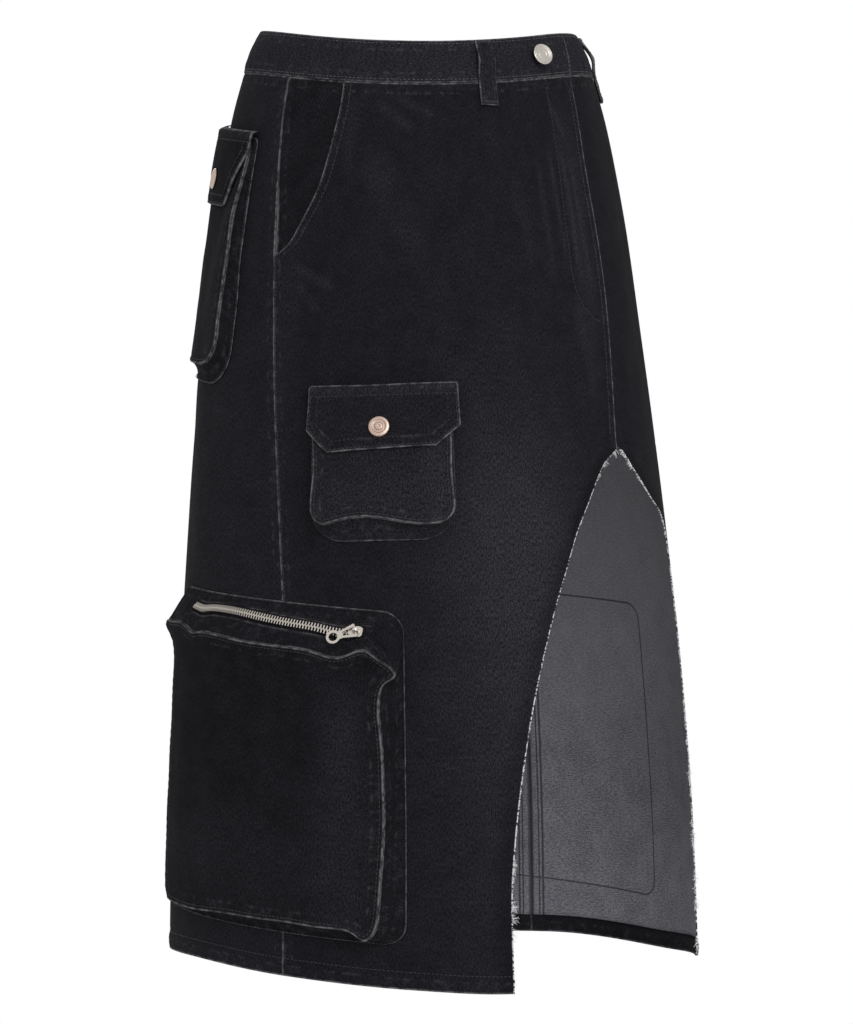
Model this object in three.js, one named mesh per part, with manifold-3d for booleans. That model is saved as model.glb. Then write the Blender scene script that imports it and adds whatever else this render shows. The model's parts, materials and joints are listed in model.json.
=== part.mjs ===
// Cargo utility skirt in heavy denim, worn and filled out, in millimetres.
// +Z is up, the wearer's front faces -Y and the wearer's left is +X.
// The origin is the centre of the waist opening, level with the waistband's edge at the sides.
import * as THREE from "three";
import Module from "manifold-3d";

const wasm = await Module();
wasm.setup();

// Cloth and seams
const WALL = 1.5;
const BAND_WALL = 2.4;
const FLAP_WALL = 2.2;
const STRAP_WALL = 2.2;
const SEAM = 0.3;
const LAP_CLEARANCE = 0.8;
const LAP = WALL + LAP_CLEARANCE;
const BAND_HEIGHT = 33.5;
const BAND_PROUD = 0.6;
const HEM_TURN_UP = 14;
const HEM_WALL = 3;

// The waist edge is level but for a soft dip over the right front.
const DIP_DEPTH = 22;
const DIP_ANGLE = -57;
const DIP_REACH_BACK = 100;
const DIP_REACH_FRONT = 90;

// Half width across the hips by drop below the waist, and how far the ring's centre lies forward.
const SECTIONS = [
  { drop: 0, halfWidth: 139.4, forward: 0 },
  { drop: 20, halfWidth: 149.4, forward: 0 },
  { drop: 40, halfWidth: 156.2, forward: 0 },
  { drop: 70, halfWidth: 165.2, forward: 0.3 },
  { drop: 110, halfWidth: 174, forward: 0.9 },
  { drop: 160, halfWidth: 182.7, forward: 2.1 },
  { drop: 230, halfWidth: 192.6, forward: 3.2 },
  { drop: 310, halfWidth: 202.7, forward: 5.3 },
  { drop: 400, halfWidth: 211.8, forward: 8.8 },
  { drop: 500, halfWidth: 221, forward: 12 },
  { drop: 620, halfWidth: 229, forward: 14.6 },
  { drop: 745, halfWidth: 233.8, forward: 15.4 },
];
const DEPTH_RATIO = 0.856;
const SQUARENESS = 0.012;

// Lines on the skirt, by their angle in degrees round from the centre front, left positive.
const SLASH_END = 187;
const SLIT_TOP = 333;
const RIGHT_SIDE_SEAM = [
  { drop: 30, angle: -102.3 },
  { drop: SLASH_END, angle: -99.3 },
  { drop: SLIT_TOP, angle: -95 },
  { drop: 402, angle: -93.2 },
  { drop: 450, angle: -91.9 },
  { drop: 745, angle: -90 },
];
const LEFT_SIDE_SEAM = [
  { drop: 30, angle: 100 },
  { drop: 745, angle: 100.6 },
];
const SLASH_AHEAD_OF_SEAM = [
  { drop: 30, angle: 21.6 },
  { drop: 66, angle: 21.2 },
  { drop: 100, angle: 18.4 },
  { drop: 134, angle: 14.4 },
  { drop: 164, angle: 8.2 },
  { drop: 178, angle: 4.6 },
  { drop: SLASH_END, angle: 0 },
];
const FLY_EDGE = [
  { drop: 30, angle: 2.6 },
  { drop: 110, angle: 0.5 },
  { drop: 215, angle: 1.9 },
  { drop: 325, angle: -1.4 },
];
const SLIT_RIGHT_EDGE = [
  { drop: SLIT_TOP, angle: -1.4 },
  { drop: 344, angle: -7.4 },
  { drop: 377, angle: -15.2 },
  { drop: 404, angle: -20.5 },
  { drop: 462, angle: -28.2 },
  { drop: 547, angle: -35.5 },
  { drop: 650, angle: -40 },
  { drop: 745, angle: -40.2 },
];
const SLIT_LEFT_EDGE = [
  { drop: SLIT_TOP, angle: 0.6 },
  { drop: 353, angle: 7.6 },
  { drop: 371, angle: 15.2 },
  { drop: 383, angle: 22.8 },
  { drop: 402, angle: 28.6 },
  { drop: 440, angle: 31 },
  { drop: 745, angle: 33.5 },
];
const HEM = [
  { angle: -180, drop: 729 },
  { angle: -122, drop: 722 },
  { angle: -90, drop: 729 },
  { angle: -60, drop: 737 },
  { angle: -40, drop: 741.5 },
  { angle: 33, drop: 739.5 },
  { angle: 60, drop: 743 },
  { angle: 92, drop: 738.5 },
  { angle: 130, drop: 740 },
  { angle: 180, drop: 729 },
];

// Drops at which the panels have a row of points, closer where an edge curves.
const FRONT_DROPS = [
  58, 85, 112, 137, 158, 173, SLASH_END, 235, 285, 323, SLIT_TOP,
  343, 353, 371, 383, 392, 402, 420, 450, 490, 547, 610, 680,
];
const BACK_DROPS = [58, 112, 158, SLASH_END, 235, 285, SLIT_TOP, 402, 450, 547, 610, 680];
const FRONT_COLUMNS = 11;
const BACK_COLUMNS = 11;

const DENIM = new THREE.MeshStandardMaterial({ color: 0x202024, roughness: 0.92 });
const METAL = new THREE.MeshStandardMaterial({ color: 0xb4aea6, roughness: 0.35, metalness: 1 });

const skirt = new THREE.Group();

function lerp(a, b, t) {
  return a + (b - a) * t;
}

function smooth(t) {
  const c = Math.min(1, Math.max(0, t));
  return c * c * (3 - 2 * c);
}

function rowBefore(rows, key, at) {
  let i = 0;
  while (i < rows.length - 2 && at > rows[i + 1][key]) i += 1;
  return i;
}

// Straight lines through the rows of a table, as the angle at a drop.
function seamAngle(rows, drop) {
  const i = rowBefore(rows, "drop", drop);
  const [above, below] = [rows[i], rows[i + 1]];
  return lerp(above.angle, below.angle, (drop - above.drop) / (below.drop - above.drop));
}

// A smooth curve through the rows of a table, as the value of one column at a place in another.
function along(rows, key, value, at) {
  const i = rowBefore(rows, key, at);
  const slope = (a, b) => (rows[b][value] - rows[a][value]) / (rows[b][key] - rows[a][key]);
  const before = slope(Math.max(0, i - 1), i + 1);
  const after = slope(i, Math.min(rows.length - 1, i + 2));
  const step = rows[i + 1][key] - rows[i][key];
  const t = Math.min(1, Math.max(0, (at - rows[i][key]) / step));
  const rise = rows[i + 1][value] - rows[i][value];
  const bend = t * (1 - t) * ((before * step - rise) * (1 - t) - (after * step - rise) * t);
  return rows[i][value] + rise * t + bend;
}

function radians(degrees) {
  return (degrees * Math.PI) / 180;
}

// A point of the skirt's outer face at an angle and drop, moved out by some millimetres.
function skirtPoint(angle, drop, out = 0) {
  const halfWidth = along(SECTIONS, "drop", "halfWidth", drop);
  const halfDepth = halfWidth * DEPTH_RATIO;
  const t = radians(angle);
  const fullness = 1 - SQUARENESS * Math.cos(4 * t);
  const swell = 4 * SQUARENESS * Math.sin(4 * t);
  const tangentX = halfWidth * (Math.cos(t) * fullness + Math.sin(t) * swell);
  const tangentY = halfDepth * (Math.sin(t) * fullness - Math.cos(t) * swell);
  const length = Math.hypot(tangentX, tangentY);
  return new THREE.Vector3(
    halfWidth * Math.sin(t) * fullness + (out * tangentY) / length,
    -halfDepth * Math.cos(t) * fullness - (out * tangentX) / length
      - along(SECTIONS, "drop", "forward", drop),
    -drop,
  );
}

function millimetresPerDegree(angle, drop) {
  return skirtPoint(angle - 0.5, drop).distanceTo(skirtPoint(angle + 0.5, drop));
}

function waistEdge(angle) {
  const turn = ((angle - DIP_ANGLE + 540) % 360) - 180;
  const reach = Math.min(1, Math.abs(turn) / (turn < 0 ? DIP_REACH_BACK : DIP_REACH_FRONT));
  return DIP_DEPTH * Math.cos(radians(90 * reach)) ** 2;
}

function hemEdge(angle) {
  return along(HEM, "angle", "drop", ((angle + 540) % 360) - 180);
}

// Makes one closed solid from the outer and inner points of a wall, given as rows of points.
// A ring's rows close on themselves, and a filled one ends in a middle point on each side.
function wallSolid(outer, inner, { ring = false, filled = false } = {}) {
  const rows = outer.length;
  const columns = outer[0].length;
  const points = [...outer.flat(), ...inner.flat()];
  const index = [];
  const id = (side, row, column) => side * rows * columns + row * columns + (column % columns);
  const quad = (a, b, c, d) => index.push(a, b, c, a, c, d);
  const spans = ring ? columns : columns - 1;
  for (let row = 0; row < rows - 1; row += 1) {
    for (let column = 0; column < spans; column += 1) {
      const [a, b] = [id(0, row, column), id(0, row, column + 1)];
      quad(a, b, id(0, row + 1, column + 1), id(0, row + 1, column));
      const [c, d] = [id(1, row, column), id(1, row, column + 1)];
      quad(d, c, id(1, row + 1, column), id(1, row + 1, column + 1));
    }
  }
  for (let column = 0; column < spans; column += 1) {
    quad(id(1, 0, column), id(1, 0, column + 1), id(0, 0, column + 1), id(0, 0, column));
    if (filled) continue;
    const last = rows - 1;
    quad(id(0, last, column), id(0, last, column + 1), id(1, last, column + 1), id(1, last, column));
  }
  if (!ring) {
    for (let row = 0; row < rows - 1; row += 1) {
      const last = columns - 1;
      quad(id(0, row, 0), id(0, row + 1, 0), id(1, row + 1, 0), id(1, row, 0));
      quad(id(1, row, last), id(1, row + 1, last), id(0, row + 1, last), id(0, row, last));
    }
  }
  if (filled) {
    for (const side of [0, 1]) {
      const middle = new THREE.Vector3();
      const rim = (side ? inner : outer)[rows - 1];
      rim.forEach((point) => middle.addScaledVector(point, 1 / columns));
      const centre = points.push(middle) - 1;
      for (let column = 0; column < columns; column += 1) {
        const [a, b] = [id(side, rows - 1, column), id(side, rows - 1, column + 1)];
        index.push(...(side ? [b, a, centre] : [a, b, centre]));
      }
    }
  }
  return closedGeometry(points, index);
}

function closedGeometry(points, index) {
  let volume = 0;
  for (let i = 0; i < index.length; i += 3) {
    const [a, b, c] = [points[index[i]], points[index[i + 1]], points[index[i + 2]]];
    volume += a.dot(new THREE.Vector3().crossVectors(b, c));
  }
  const facing = volume < 0 ? [...index].reverse() : index;
  const geometry = new THREE.BufferGeometry().setFromPoints(points);
  geometry.setIndex(facing);
  geometry.computeVertexNormals();
  return geometry;
}

// A bar whose section is carried along a row of places.
function barSolid(sections) {
  const points = sections.flat();
  const sides = sections[0].length;
  const index = [];
  for (let i = 0; i < sections.length - 1; i += 1) {
    for (let j = 0; j < sides; j += 1) {
      const k = (j + 1) % sides;
      const [a, b] = [i * sides + j, i * sides + k];
      index.push(a, b, b + sides, a, b + sides, a + sides);
    }
  }
  const end = (sections.length - 1) * sides;
  for (let j = 1; j < sides - 1; j += 1) {
    index.push(0, j + 1, j);
    index.push(end, end + j, end + j + 1);
  }
  return closedGeometry(points, index);
}

function addMesh(name, geometry, material, parent = skirt) {
  const mesh = new THREE.Mesh(geometry, material);
  mesh.name = name;
  parent.add(mesh);
  return mesh;
}

function solidFrom(geometry) {
  const { array } = geometry.getAttribute("position");
  const keyed = new Map();
  const vertices = [];
  const corners = [];
  const count = geometry.index ? geometry.index.count : array.length / 3;
  for (let i = 0; i < count; i += 1) {
    const v = geometry.index ? geometry.index.getX(i) : i;
    const place = [array[3 * v], array[3 * v + 1], array[3 * v + 2]];
    const key = place.map((value) => Math.round(value * 1e4)).join();
    if (!keyed.has(key)) {
      keyed.set(key, vertices.length / 3);
      vertices.push(...place);
    }
    corners.push(keyed.get(key));
  }
  const triVerts = [];
  for (let i = 0; i < corners.length; i += 3) {
    const [a, b, c] = corners.slice(i, i + 3);
    if (a !== b && b !== c && a !== c) triVerts.push(a, b, c);
  }
  return new wasm.Manifold(new wasm.Mesh({
    numProp: 3,
    vertProperties: new Float32Array(vertices),
    triVerts: new Uint32Array(triVerts),
  }));
}

function geometryFrom(solid) {
  const { vertProperties, triVerts } = solid.getMesh();
  const geometry = new THREE.BufferGeometry();
  geometry.setAttribute("position", new THREE.BufferAttribute(vertProperties, 3));
  geometry.setIndex(new THREE.BufferAttribute(triVerts, 1));
  geometry.computeVertexNormals();
  return geometry;
}

// Body panels
function sideSeam(side, drop) {
  return seamAngle(side < 0 ? RIGHT_SIDE_SEAM : LEFT_SIDE_SEAM, drop);
}

function slashEdge(side, drop) {
  return sideSeam(side, drop) - side * along(SLASH_AHEAD_OF_SEAM, "drop", "angle", drop);
}

// Where a panel row's nominal drop lies once the row follows the waist seam or the hem.
function panelDrop(row, angle) {
  const seam = waistEdge(angle) + BAND_HEIGHT + SEAM / 2;
  const hem = hemEdge(angle);
  if (row === "top") return seam;
  if (row === "turnUpEdge") return hem - HEM_TURN_UP - 1;
  if (row === "turnUp") return hem - HEM_TURN_UP;
  if (row === "hem") return hem;
  const free = 1 - smooth((row - FRONT_DROPS[0]) / (SLASH_END - FRONT_DROPS[0]));
  return Math.max(row + waistEdge(angle) * free * 0.9, seam + 6);
}

// A panel lies between two edges, each an angle worked out from the drop.
function panel(name, { rows, startEdge, endEdge, out = () => 0, columns, hemmed = true }) {
  const outer = [];
  const inner = [];
  for (const row of rows) {
    const ends = [startEdge, endEdge].map((edge) => {
      let angle = edge(typeof row === "number" ? row : { top: 40 }[row] ?? 735);
      for (let i = 0; i < 4; i += 1) angle = edge(panelDrop(row, angle));
      return angle;
    });
    const wall = hemmed && (row === "turnUp" || row === "hem") ? HEM_WALL : WALL;
    const outerRow = [];
    const innerRow = [];
    for (let column = 0; column <= columns; column += 1) {
      const angle = lerp(ends[0], ends[1], column / columns);
      const drop = panelDrop(row, angle);
      const offset = out(angle, drop);
      outerRow.push(skirtPoint(angle, drop, offset));
      innerRow.push(skirtPoint(angle, drop, offset - wall));
    }
    outer.push(outerRow);
    inner.push(innerRow);
  }
  return addMesh(name, wallSolid(outer, inner), DENIM);
}

const HALF_SEAM_ANGLE = SEAM / 2 / 3;
const FRONT_ROWS = ["top", ...FRONT_DROPS, "turnUpEdge", "turnUp", "hem"];
const BACK_ROWS = ["top", ...BACK_DROPS, "turnUpEdge", "turnUp", "hem"];
const UNDERLAP_ANGLE = 5.5;
const STEP_ANGLE = 9;

function outerFrontEdge(side, drop) {
  const edge = drop < SLASH_END ? slashEdge(side, drop) : sideSeam(side, drop);
  return edge - side * HALF_SEAM_ANGLE;
}

function flyEdge(drop) {
  return along(FLY_EDGE, "drop", "angle", drop);
}

panel("front_right_panel", {
  rows: FRONT_ROWS,
  startEdge: (drop) => outerFrontEdge(-1, drop),
  endEdge: (drop) => (drop < SLIT_TOP
    ? flyEdge(drop)
    : along(SLIT_RIGHT_EDGE, "drop", "angle", drop)),
  columns: FRONT_COLUMNS,
});

// The left front runs on under the right one along the fly, a wall further in.
panel("front_left_panel", {
  rows: FRONT_ROWS,
  startEdge: (drop) => (drop < SLIT_TOP - 1
    ? flyEdge(drop) - UNDERLAP_ANGLE
    : along(SLIT_LEFT_EDGE, "drop", "angle", drop) + 2 * HALF_SEAM_ANGLE),
  endEdge: (drop) => outerFrontEdge(1, drop),
  columns: FRONT_COLUMNS,
  out: (angle, drop) => {
    const beside = 1 - smooth((angle - flyEdge(Math.min(drop, SLIT_TOP)) - 1) / STEP_ANGLE);
    const above = 1 - smooth((drop - SLIT_TOP) / 60);
    return -LAP * beside * above;
  },
});

for (const [name, side] of [["right", -1], ["left", 1]]) {
  panel(`back_${name}_panel`, {
    rows: BACK_ROWS,
    startEdge: (drop) => sideSeam(side, drop) + side * HALF_SEAM_ANGLE,
    endEdge: () => side * (180 - HALF_SEAM_ANGLE),
    columns: BACK_COLUMNS,
  });

  // The hip pocket's facing fills the slash and runs on under its edge.
  const facingRows = ["top", ...FRONT_DROPS.filter((drop) => drop <= SLASH_END), SLASH_END + 9];
  const sinkFrom = 115;
  const sinkOver = 45;
  panel(`hip_pocket_facing_${name}`, {
    rows: facingRows,
    startEdge: (drop) => sideSeam(side, drop) - side * HALF_SEAM_ANGLE,
    endEdge: (drop) => slashEdge(side, Math.min(drop, SLASH_END)) - side * 4.4,
    columns: 6,
    hemmed: false,
    out: (angle, drop) => {
      const ahead = Math.abs(angle - sideSeam(side, drop));
      const free = along(SLASH_AHEAD_OF_SEAM, "drop", "angle", Math.min(drop, SLASH_END));
      const sunk = smooth((drop - sinkFrom) / sinkOver);
      return -LAP * Math.max(sunk * 1.25, smooth(ahead / Math.max(1, free * 0.8)));
    },
  });
}

// The waistband starts as the underlap behind the button, goes round by the left and the back,
// and ends over its own start.
const BAND_START = -17;
const BAND_END_TOP = 366.5;
const BAND_END_BOTTOM = 362.9;
const BAND_COLUMNS = 56;
const BAND_ROWS = [
  { down: 0, sunk: 0.7 },
  { down: 0.05, sunk: 0.1 },
  { down: 0.5, sunk: 0 },
  { down: 1, sunk: 0 },
];

function bandOut(turn) {
  const under = -(BAND_WALL + LAP_CLEARANCE) * (1 - smooth((turn - 7.5) / 12));
  return BAND_PROUD + under;
}

function waistband() {
  const outer = [];
  const inner = [];
  for (const { down, sunk } of BAND_ROWS) {
    const end = lerp(BAND_END_TOP, BAND_END_BOTTOM, down);
    const outerRow = [];
    const innerRow = [];
    for (let column = 0; column <= BAND_COLUMNS; column += 1) {
      const turn = lerp(BAND_START, end, column / BAND_COLUMNS);
      const drop = waistEdge(turn) + down * (BAND_HEIGHT - SEAM / 2);
      const out = bandOut(turn);
      outerRow.push(skirtPoint(turn, drop, out - sunk));
      innerRow.push(skirtPoint(turn, drop, out - BAND_WALL + sunk));
    }
    outer.push(outerRow);
    inner.push(innerRow);
  }
  return wallSolid(outer, inner);
}

addMesh("waistband", waistband(), DENIM);

// Belt loops stand away from the band near its top and lie flat below it.
const LOOP_WIDTH = 14;
const LOOP_LENGTH = 51;
const LOOP_TOP = 1;
const LOOP_GAP = 3.2;
const LOOP_STEPS = 16;

function beltLoop(name, angle) {
  const halfAngle = LOOP_WIDTH / 2 / millimetresPerDegree(angle, BAND_HEIGHT);
  const sections = [];
  for (let step = 0; step <= LOOP_STEPS; step += 1) {
    const t = step / LOOP_STEPS;
    const drop = waistEdge(angle) + LOOP_TOP + t * LOOP_LENGTH;
    const bow = Math.min(1, Math.max(0, (t - 0.02) / 0.56));
    const out = BAND_PROUD + SEAM + LOOP_GAP * Math.sin(Math.PI * bow) ** 2;
    sections.push([
      skirtPoint(angle - halfAngle, drop, out),
      skirtPoint(angle + halfAngle, drop, out),
      skirtPoint(angle + halfAngle, drop, out + STRAP_WALL),
      skirtPoint(angle - halfAngle, drop, out + STRAP_WALL),
    ]);
  }
  addMesh(name, barSolid(sections), DENIM);
}

const LOOP_ANGLE = 35.5;
beltLoop("belt_loop_right", -LOOP_ANGLE);
beltLoop("belt_loop_left", LOOP_ANGLE);
beltLoop("belt_loop_back", 180);

// Turned metal pieces stand on the cloth along its outward normal.
function standOn(group, origin, across, up) {
  const x = across.clone().sub(origin).normalize();
  const z = new THREE.Vector3().crossVectors(x, up.clone().sub(origin)).normalize();
  const y = new THREE.Vector3().crossVectors(z, x);
  group.matrix.makeBasis(x, y, z).setPosition(origin);
  group.matrix.decompose(group.position, group.quaternion, group.scale);
  skirt.add(group);
}

function turned(profile, segments = 20) {
  const geometry = new THREE.LatheGeometry(
    profile.map(([radius, height]) => new THREE.Vector2(radius, height)),
    segments,
  );
  geometry.rotateX(Math.PI / 2);
  return geometry;
}

const BUTTON = { angle: -13.8, drop: 29, radius: 8.5, stem: 3.2, height: 6.4, tilt: radians(-19) };

function waistButton() {
  const { angle, drop, radius, stem, height, tilt } = BUTTON;
  const at = (a, d) => skirtPoint(a, d, BAND_PROUD + SEAM);
  const group = new THREE.Group();
  standOn(group, at(angle, drop), at(angle + 1, drop), at(angle, drop - 5));
  const solid = turned([
    [0, 0],
    [stem, 0],
    [stem, height - 3],
    [radius - 0.5, height - 2.2],
    [radius, height - 1.4],
    [radius - 0.3, height - 0.3],
    [radius - 0.9, height],
    [radius - 1.8, height - 0.7],
    [0, height - 0.5],
  ]);
  const button = addMesh("waist_button", solid, METAL, group);
  button.rotation.y = tilt;
  button.position.z = stem * Math.sin(Math.abs(tilt));
}

waistButton();

// Bellows pockets: a base outline on the skirt, a face standing off it, and a gusset between.
// Places on a pocket are in millimetres, x back from its front edge and y down from its top.
const CORNER_STEPS = 3;
const UPRIGHT_STEPS = 3;
const FOOT = 0.8;
const SHALLOWEST = 5.4;
const TUCK_FROM = 0.45;
const TUCK_OVER = 0.25;

function roundedRing({ left, right, top, bottom, radiusTop, radiusBottom, levelSteps }) {
  const ring = [];
  const corners = [
    { x: right, y: top, radius: radiusTop, from: -90 },
    { x: right, y: bottom, radius: radiusBottom, from: 0 },
    { x: left, y: bottom, radius: radiusBottom, from: 90 },
    { x: left, y: top, radius: radiusTop, from: 180 },
  ];
  corners.forEach(({ x, y, radius, from }, i) => {
    const centreX = x + (x === right ? -radius : radius);
    const centreY = y + (y === bottom ? -radius : radius);
    for (let step = 0; step <= CORNER_STEPS; step += 1) {
      const turn = radians(from + (90 * step) / CORNER_STEPS);
      ring.push([centreX + radius * Math.cos(turn), centreY + radius * Math.sin(turn)]);
    }
    const next = corners[(i + 1) % 4];
    const nextX = next.x + (next.x === right ? -next.radius : next.radius);
    const nextY = next.y + (next.y === bottom ? -next.radius : next.radius);
    const nextTurn = radians(next.from);
    const start = ring[ring.length - 1];
    const end = [
      nextX + next.radius * Math.cos(nextTurn),
      nextY + next.radius * Math.sin(nextTurn),
    ];
    const steps = i % 2 ? levelSteps : UPRIGHT_STEPS;
    for (let step = 1; step < steps; step += 1) {
      ring.push([lerp(start[0], end[0], step / steps), lerp(start[1], end[1], step / steps)]);
    }
  });
  return ring;
}

class Pocket {
  constructor(spec) {
    Object.assign(this, spec);
    const middle = (this.frontTop + this.frontBottom) / 2;
    this.perDegree = millimetresPerDegree(this.front - this.angleSpan / 2, middle);
    this.width = this.angleSpan * this.perDegree;
    this.height = this.frontBottom - this.frontTop;
    const outline = roundedRing({
      left: 0,
      right: this.width,
      top: 0,
      bottom: this.height,
      radiusTop: this.radiusTop,
      radiusBottom: this.radiusBottom,
      levelSteps: this.levelSteps,
    });
    this.base = outline.map(([x, y]) => [x + this.tuckAt(x, y), y]);
    const { inset } = this;
    const level = roundedRing({
      left: inset.front,
      right: this.width - inset.back,
      top: inset.top,
      bottom: this.height - inset.bottom,
      radiusTop: this.faceRadiusTop,
      radiusBottom: this.faceRadiusBottom,
      levelSteps: this.levelSteps,
    });
    this.face = level.map(([x, y]) => [x, y + this.slantAt(x, y)]);
  }

  // How much lower the face's top edge sits at the front than at its middle.
  slantAt(x, y) {
    return this.slant * (0.5 - x / this.width) * (1 - y / this.height);
  }

  // How far the base's upper front edge is folded back under the face.
  tuckAt(x, y) {
    const near = 1 - smooth(x / (this.width / 2));
    return this.tuck * near * (1 - smooth((y / this.height - TUCK_FROM) / TUCK_OVER));
  }

  // A pocket on the left is the mirror image of the same pocket on the right.
  at(x, y, out) {
    const leaned = x + (this.lean * y) / this.height;
    const angle = this.front - leaned / this.perDegree;
    const drop = this.frontTop + y - (this.backRise * x) / this.width;
    return skirtPoint(angle * -this.side, drop, out);
  }

  depthAt(x, y) {
    const u = (x - this.inset.front) / (this.width - this.inset.front - this.inset.back);
    const v = (y - this.inset.top) / (this.height - this.inset.top - this.inset.bottom);
    const crown = this.crown * Math.max(0, u * (1 - u)) * 4 * Math.max(0, v * (1 - v)) * 4;
    const [front, back] = ["front", "back"].map((side) => along(this.depths, "down", side, v));
    return Math.max(SHALLOWEST, lerp(front, back, u) + crown);
  }

  faceSolid() {
    const middleX = (this.inset.front + this.width - this.inset.back) / 2;
    const middleY = (this.inset.top + this.height - this.inset.bottom) / 2;
    const rings = [1, 0.8, 0.45];
    const layer = (sunk) => rings.map((share) => this.face.map(([x, y]) => {
      const [px, py] = [lerp(middleX, x, share), lerp(middleY, y, share)];
      return this.at(px, py, this.depthAt(px, py) - sunk);
    }));
    return wallSolid(layer(0), layer(WALL), { ring: true, filled: true });
  }

  // A place on the gusset: how far from the base edge to the face, and how far off its surface.
  gussetPoint(i, share, lift = 0) {
    const last = this.base.length;
    const j = Math.floor(i) % last;
    const k = (j + 1) % last;
    const t = i - Math.floor(i);
    const mix = (ring, axis) => lerp(ring[j][axis], ring[k][axis], t);
    const [bx, by] = [mix(this.base, 0), mix(this.base, 1)];
    const [fx, fy] = [mix(this.face, 0), mix(this.face, 1)];
    const span = Math.hypot(fx - bx, fy - by);
    const rise = this.depthAt(fx, fy) - WALL - SEAM - FOOT;
    const slope = Math.hypot(span, rise);
    const inward = share * span - (lift * rise) / slope;
    const out = FOOT + share * rise + (lift * span) / slope;
    const [dx, dy] = [(fx - bx) / span, (fy - by) / span];
    return this.at(bx + dx * inward, by + dy * inward, out);
  }

  gussetSolid() {
    const shares = [0, 0.5, 1];
    const outer = shares.map((share) => this.base.map((_, i) => this.gussetPoint(i, share)));
    const inner = shares.map((share) => this.base.map(([bx, by], i) => {
      if (share > 0) return this.gussetPoint(i, share, -WALL);
      const [fx, fy] = this.face[i];
      const span = Math.hypot(fx - bx, fy - by);
      const rise = this.depthAt(fx, fy) - WALL - SEAM - FOOT;
      const foot = (WALL * Math.hypot(span, rise)) / rise;
      return this.at(bx + ((fx - bx) / span) * foot, by + ((fy - by) / span) * foot, FOOT);
    }));
    return wallSolid(outer, inner, { ring: true });
  }

  build() {
    addMesh(`${this.name}_face`, this.faceSolid(), DENIM);
    addMesh(`${this.name}_gusset`, this.gussetSolid(), DENIM);
  }
}

// A flap hangs from a seam above its pocket, over the face, with its lower corners cut off.
const FLAP_COLUMNS = 12;
const FLAP_ROWS = 8;

function flap(pocket, { front, back, top, cornerDown, bottomDown, cut, snapX, snapDown }) {
  const bottomAt = (u) => {
    const x = u * (back - front);
    const fromSide = Math.min(x, back - front - x);
    return lerp(cornerDown, bottomDown, Math.min(1, fromSide / cut));
  };
  const lieOn = (x, y) => Math.max(
    pocket.depthAt(Math.min(Math.max(x, pocket.inset.front), pocket.width - pocket.inset.back), y),
    0,
  );
  const layer = (lift) => {
    const rows = [];
    for (let row = 0; row <= FLAP_ROWS; row += 1) {
      const points = [];
      for (let column = 0; column <= FLAP_COLUMNS; column += 1) {
        const u = column / FLAP_COLUMNS;
        const x = lerp(front, back, u);
        const y = top + (row / FLAP_ROWS) * bottomAt(u);
        const seated = smooth((y - top) / 7);
        const rest = lerp(FOOT, lieOn(x, Math.max(y, pocket.inset.top)) + LAP_CLEARANCE, seated);
        points.push(pocket.at(x, y, rest + lift));
      }
      rows.push(points);
    }
    return rows;
  };
  addMesh(`${pocket.name}_flap`, wallSolid(layer(FLAP_WALL), layer(0)), DENIM);

  const snapY = top + snapDown;
  const surface = (x, y) => pocket.at(x, y, lieOn(x, y) + LAP_CLEARANCE + FLAP_WALL + SEAM);
  const group = new THREE.Group();
  const origin = surface(snapX, snapY);
  standOn(group, origin, surface(snapX + 4 * pocket.side, snapY), surface(snapX, snapY - 4));
  const cap = turned([
    [0, 0],
    [7.4, 0],
    [8.2, 0.6],
    [7.6, 1.7],
    [5.6, 2],
    [4.8, 1.2],
    [3.4, 1.2],
    [2.8, 2.3],
    [0, 2.6],
  ]);
  addMesh(`${pocket.name}_snap`, cap, METAL, group);
}

const flapPocket = new Pocket({
  name: "front_flap_pocket",
  side: -1,
  front: -49.9,
  angleSpan: 34.4,
  frontTop: 289,
  frontBottom: 402,
  backRise: -3,
  lean: 0,
  tuck: 0,
  slant: 0,
  radiusTop: 6,
  radiusBottom: 26,
  faceRadiusTop: 4,
  faceRadiusBottom: 13,
  levelSteps: 4,
  inset: { front: 2.6, back: 4, top: 6, bottom: 13 },
  crown: 2.5,
  depths: [
    { down: 0, front: 6, back: 6 },
    { down: 0.35, front: 10, back: 10 },
    { down: 0.75, front: 13.5, back: 13.5 },
    { down: 1, front: 12.5, back: 12.5 },
  ],
});
flapPocket.build();
flap(flapPocket, {
  front: -3.6,
  back: flapPocket.width + 0.5,
  top: -5,
  cornerDown: 33,
  bottomDown: 49.5,
  cut: 18,
  snapX: 53,
  snapDown: 33,
});

const hipPocket = new Pocket({
  name: "hip_flap_pocket",
  side: -1,
  front: -109.2,
  angleSpan: 43,
  frontTop: 94,
  frontBottom: 286,
  backRise: 16,
  lean: 14,
  tuck: 4,
  slant: 0,
  radiusTop: 6,
  radiusBottom: 30,
  faceRadiusTop: 5,
  faceRadiusBottom: 24,
  levelSteps: 5,
  inset: { front: 7, back: 6, top: 6, bottom: 16 },
  crown: -3.4,
  depths: [
    { down: 0, front: 6, back: 5.4 },
    { down: 0.3, front: 10, back: 5.4 },
    { down: 0.7, front: 13.5, back: 5.4 },
    { down: 1, front: 11, back: 5.4 },
  ],
});
hipPocket.build();
flap(hipPocket, {
  front: 5,
  back: hipPocket.width + 2.5,
  top: -5,
  cornerDown: 17,
  bottomDown: 60,
  cut: 23,
  snapX: hipPocket.width / 2,
  snapDown: 40,
});

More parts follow.
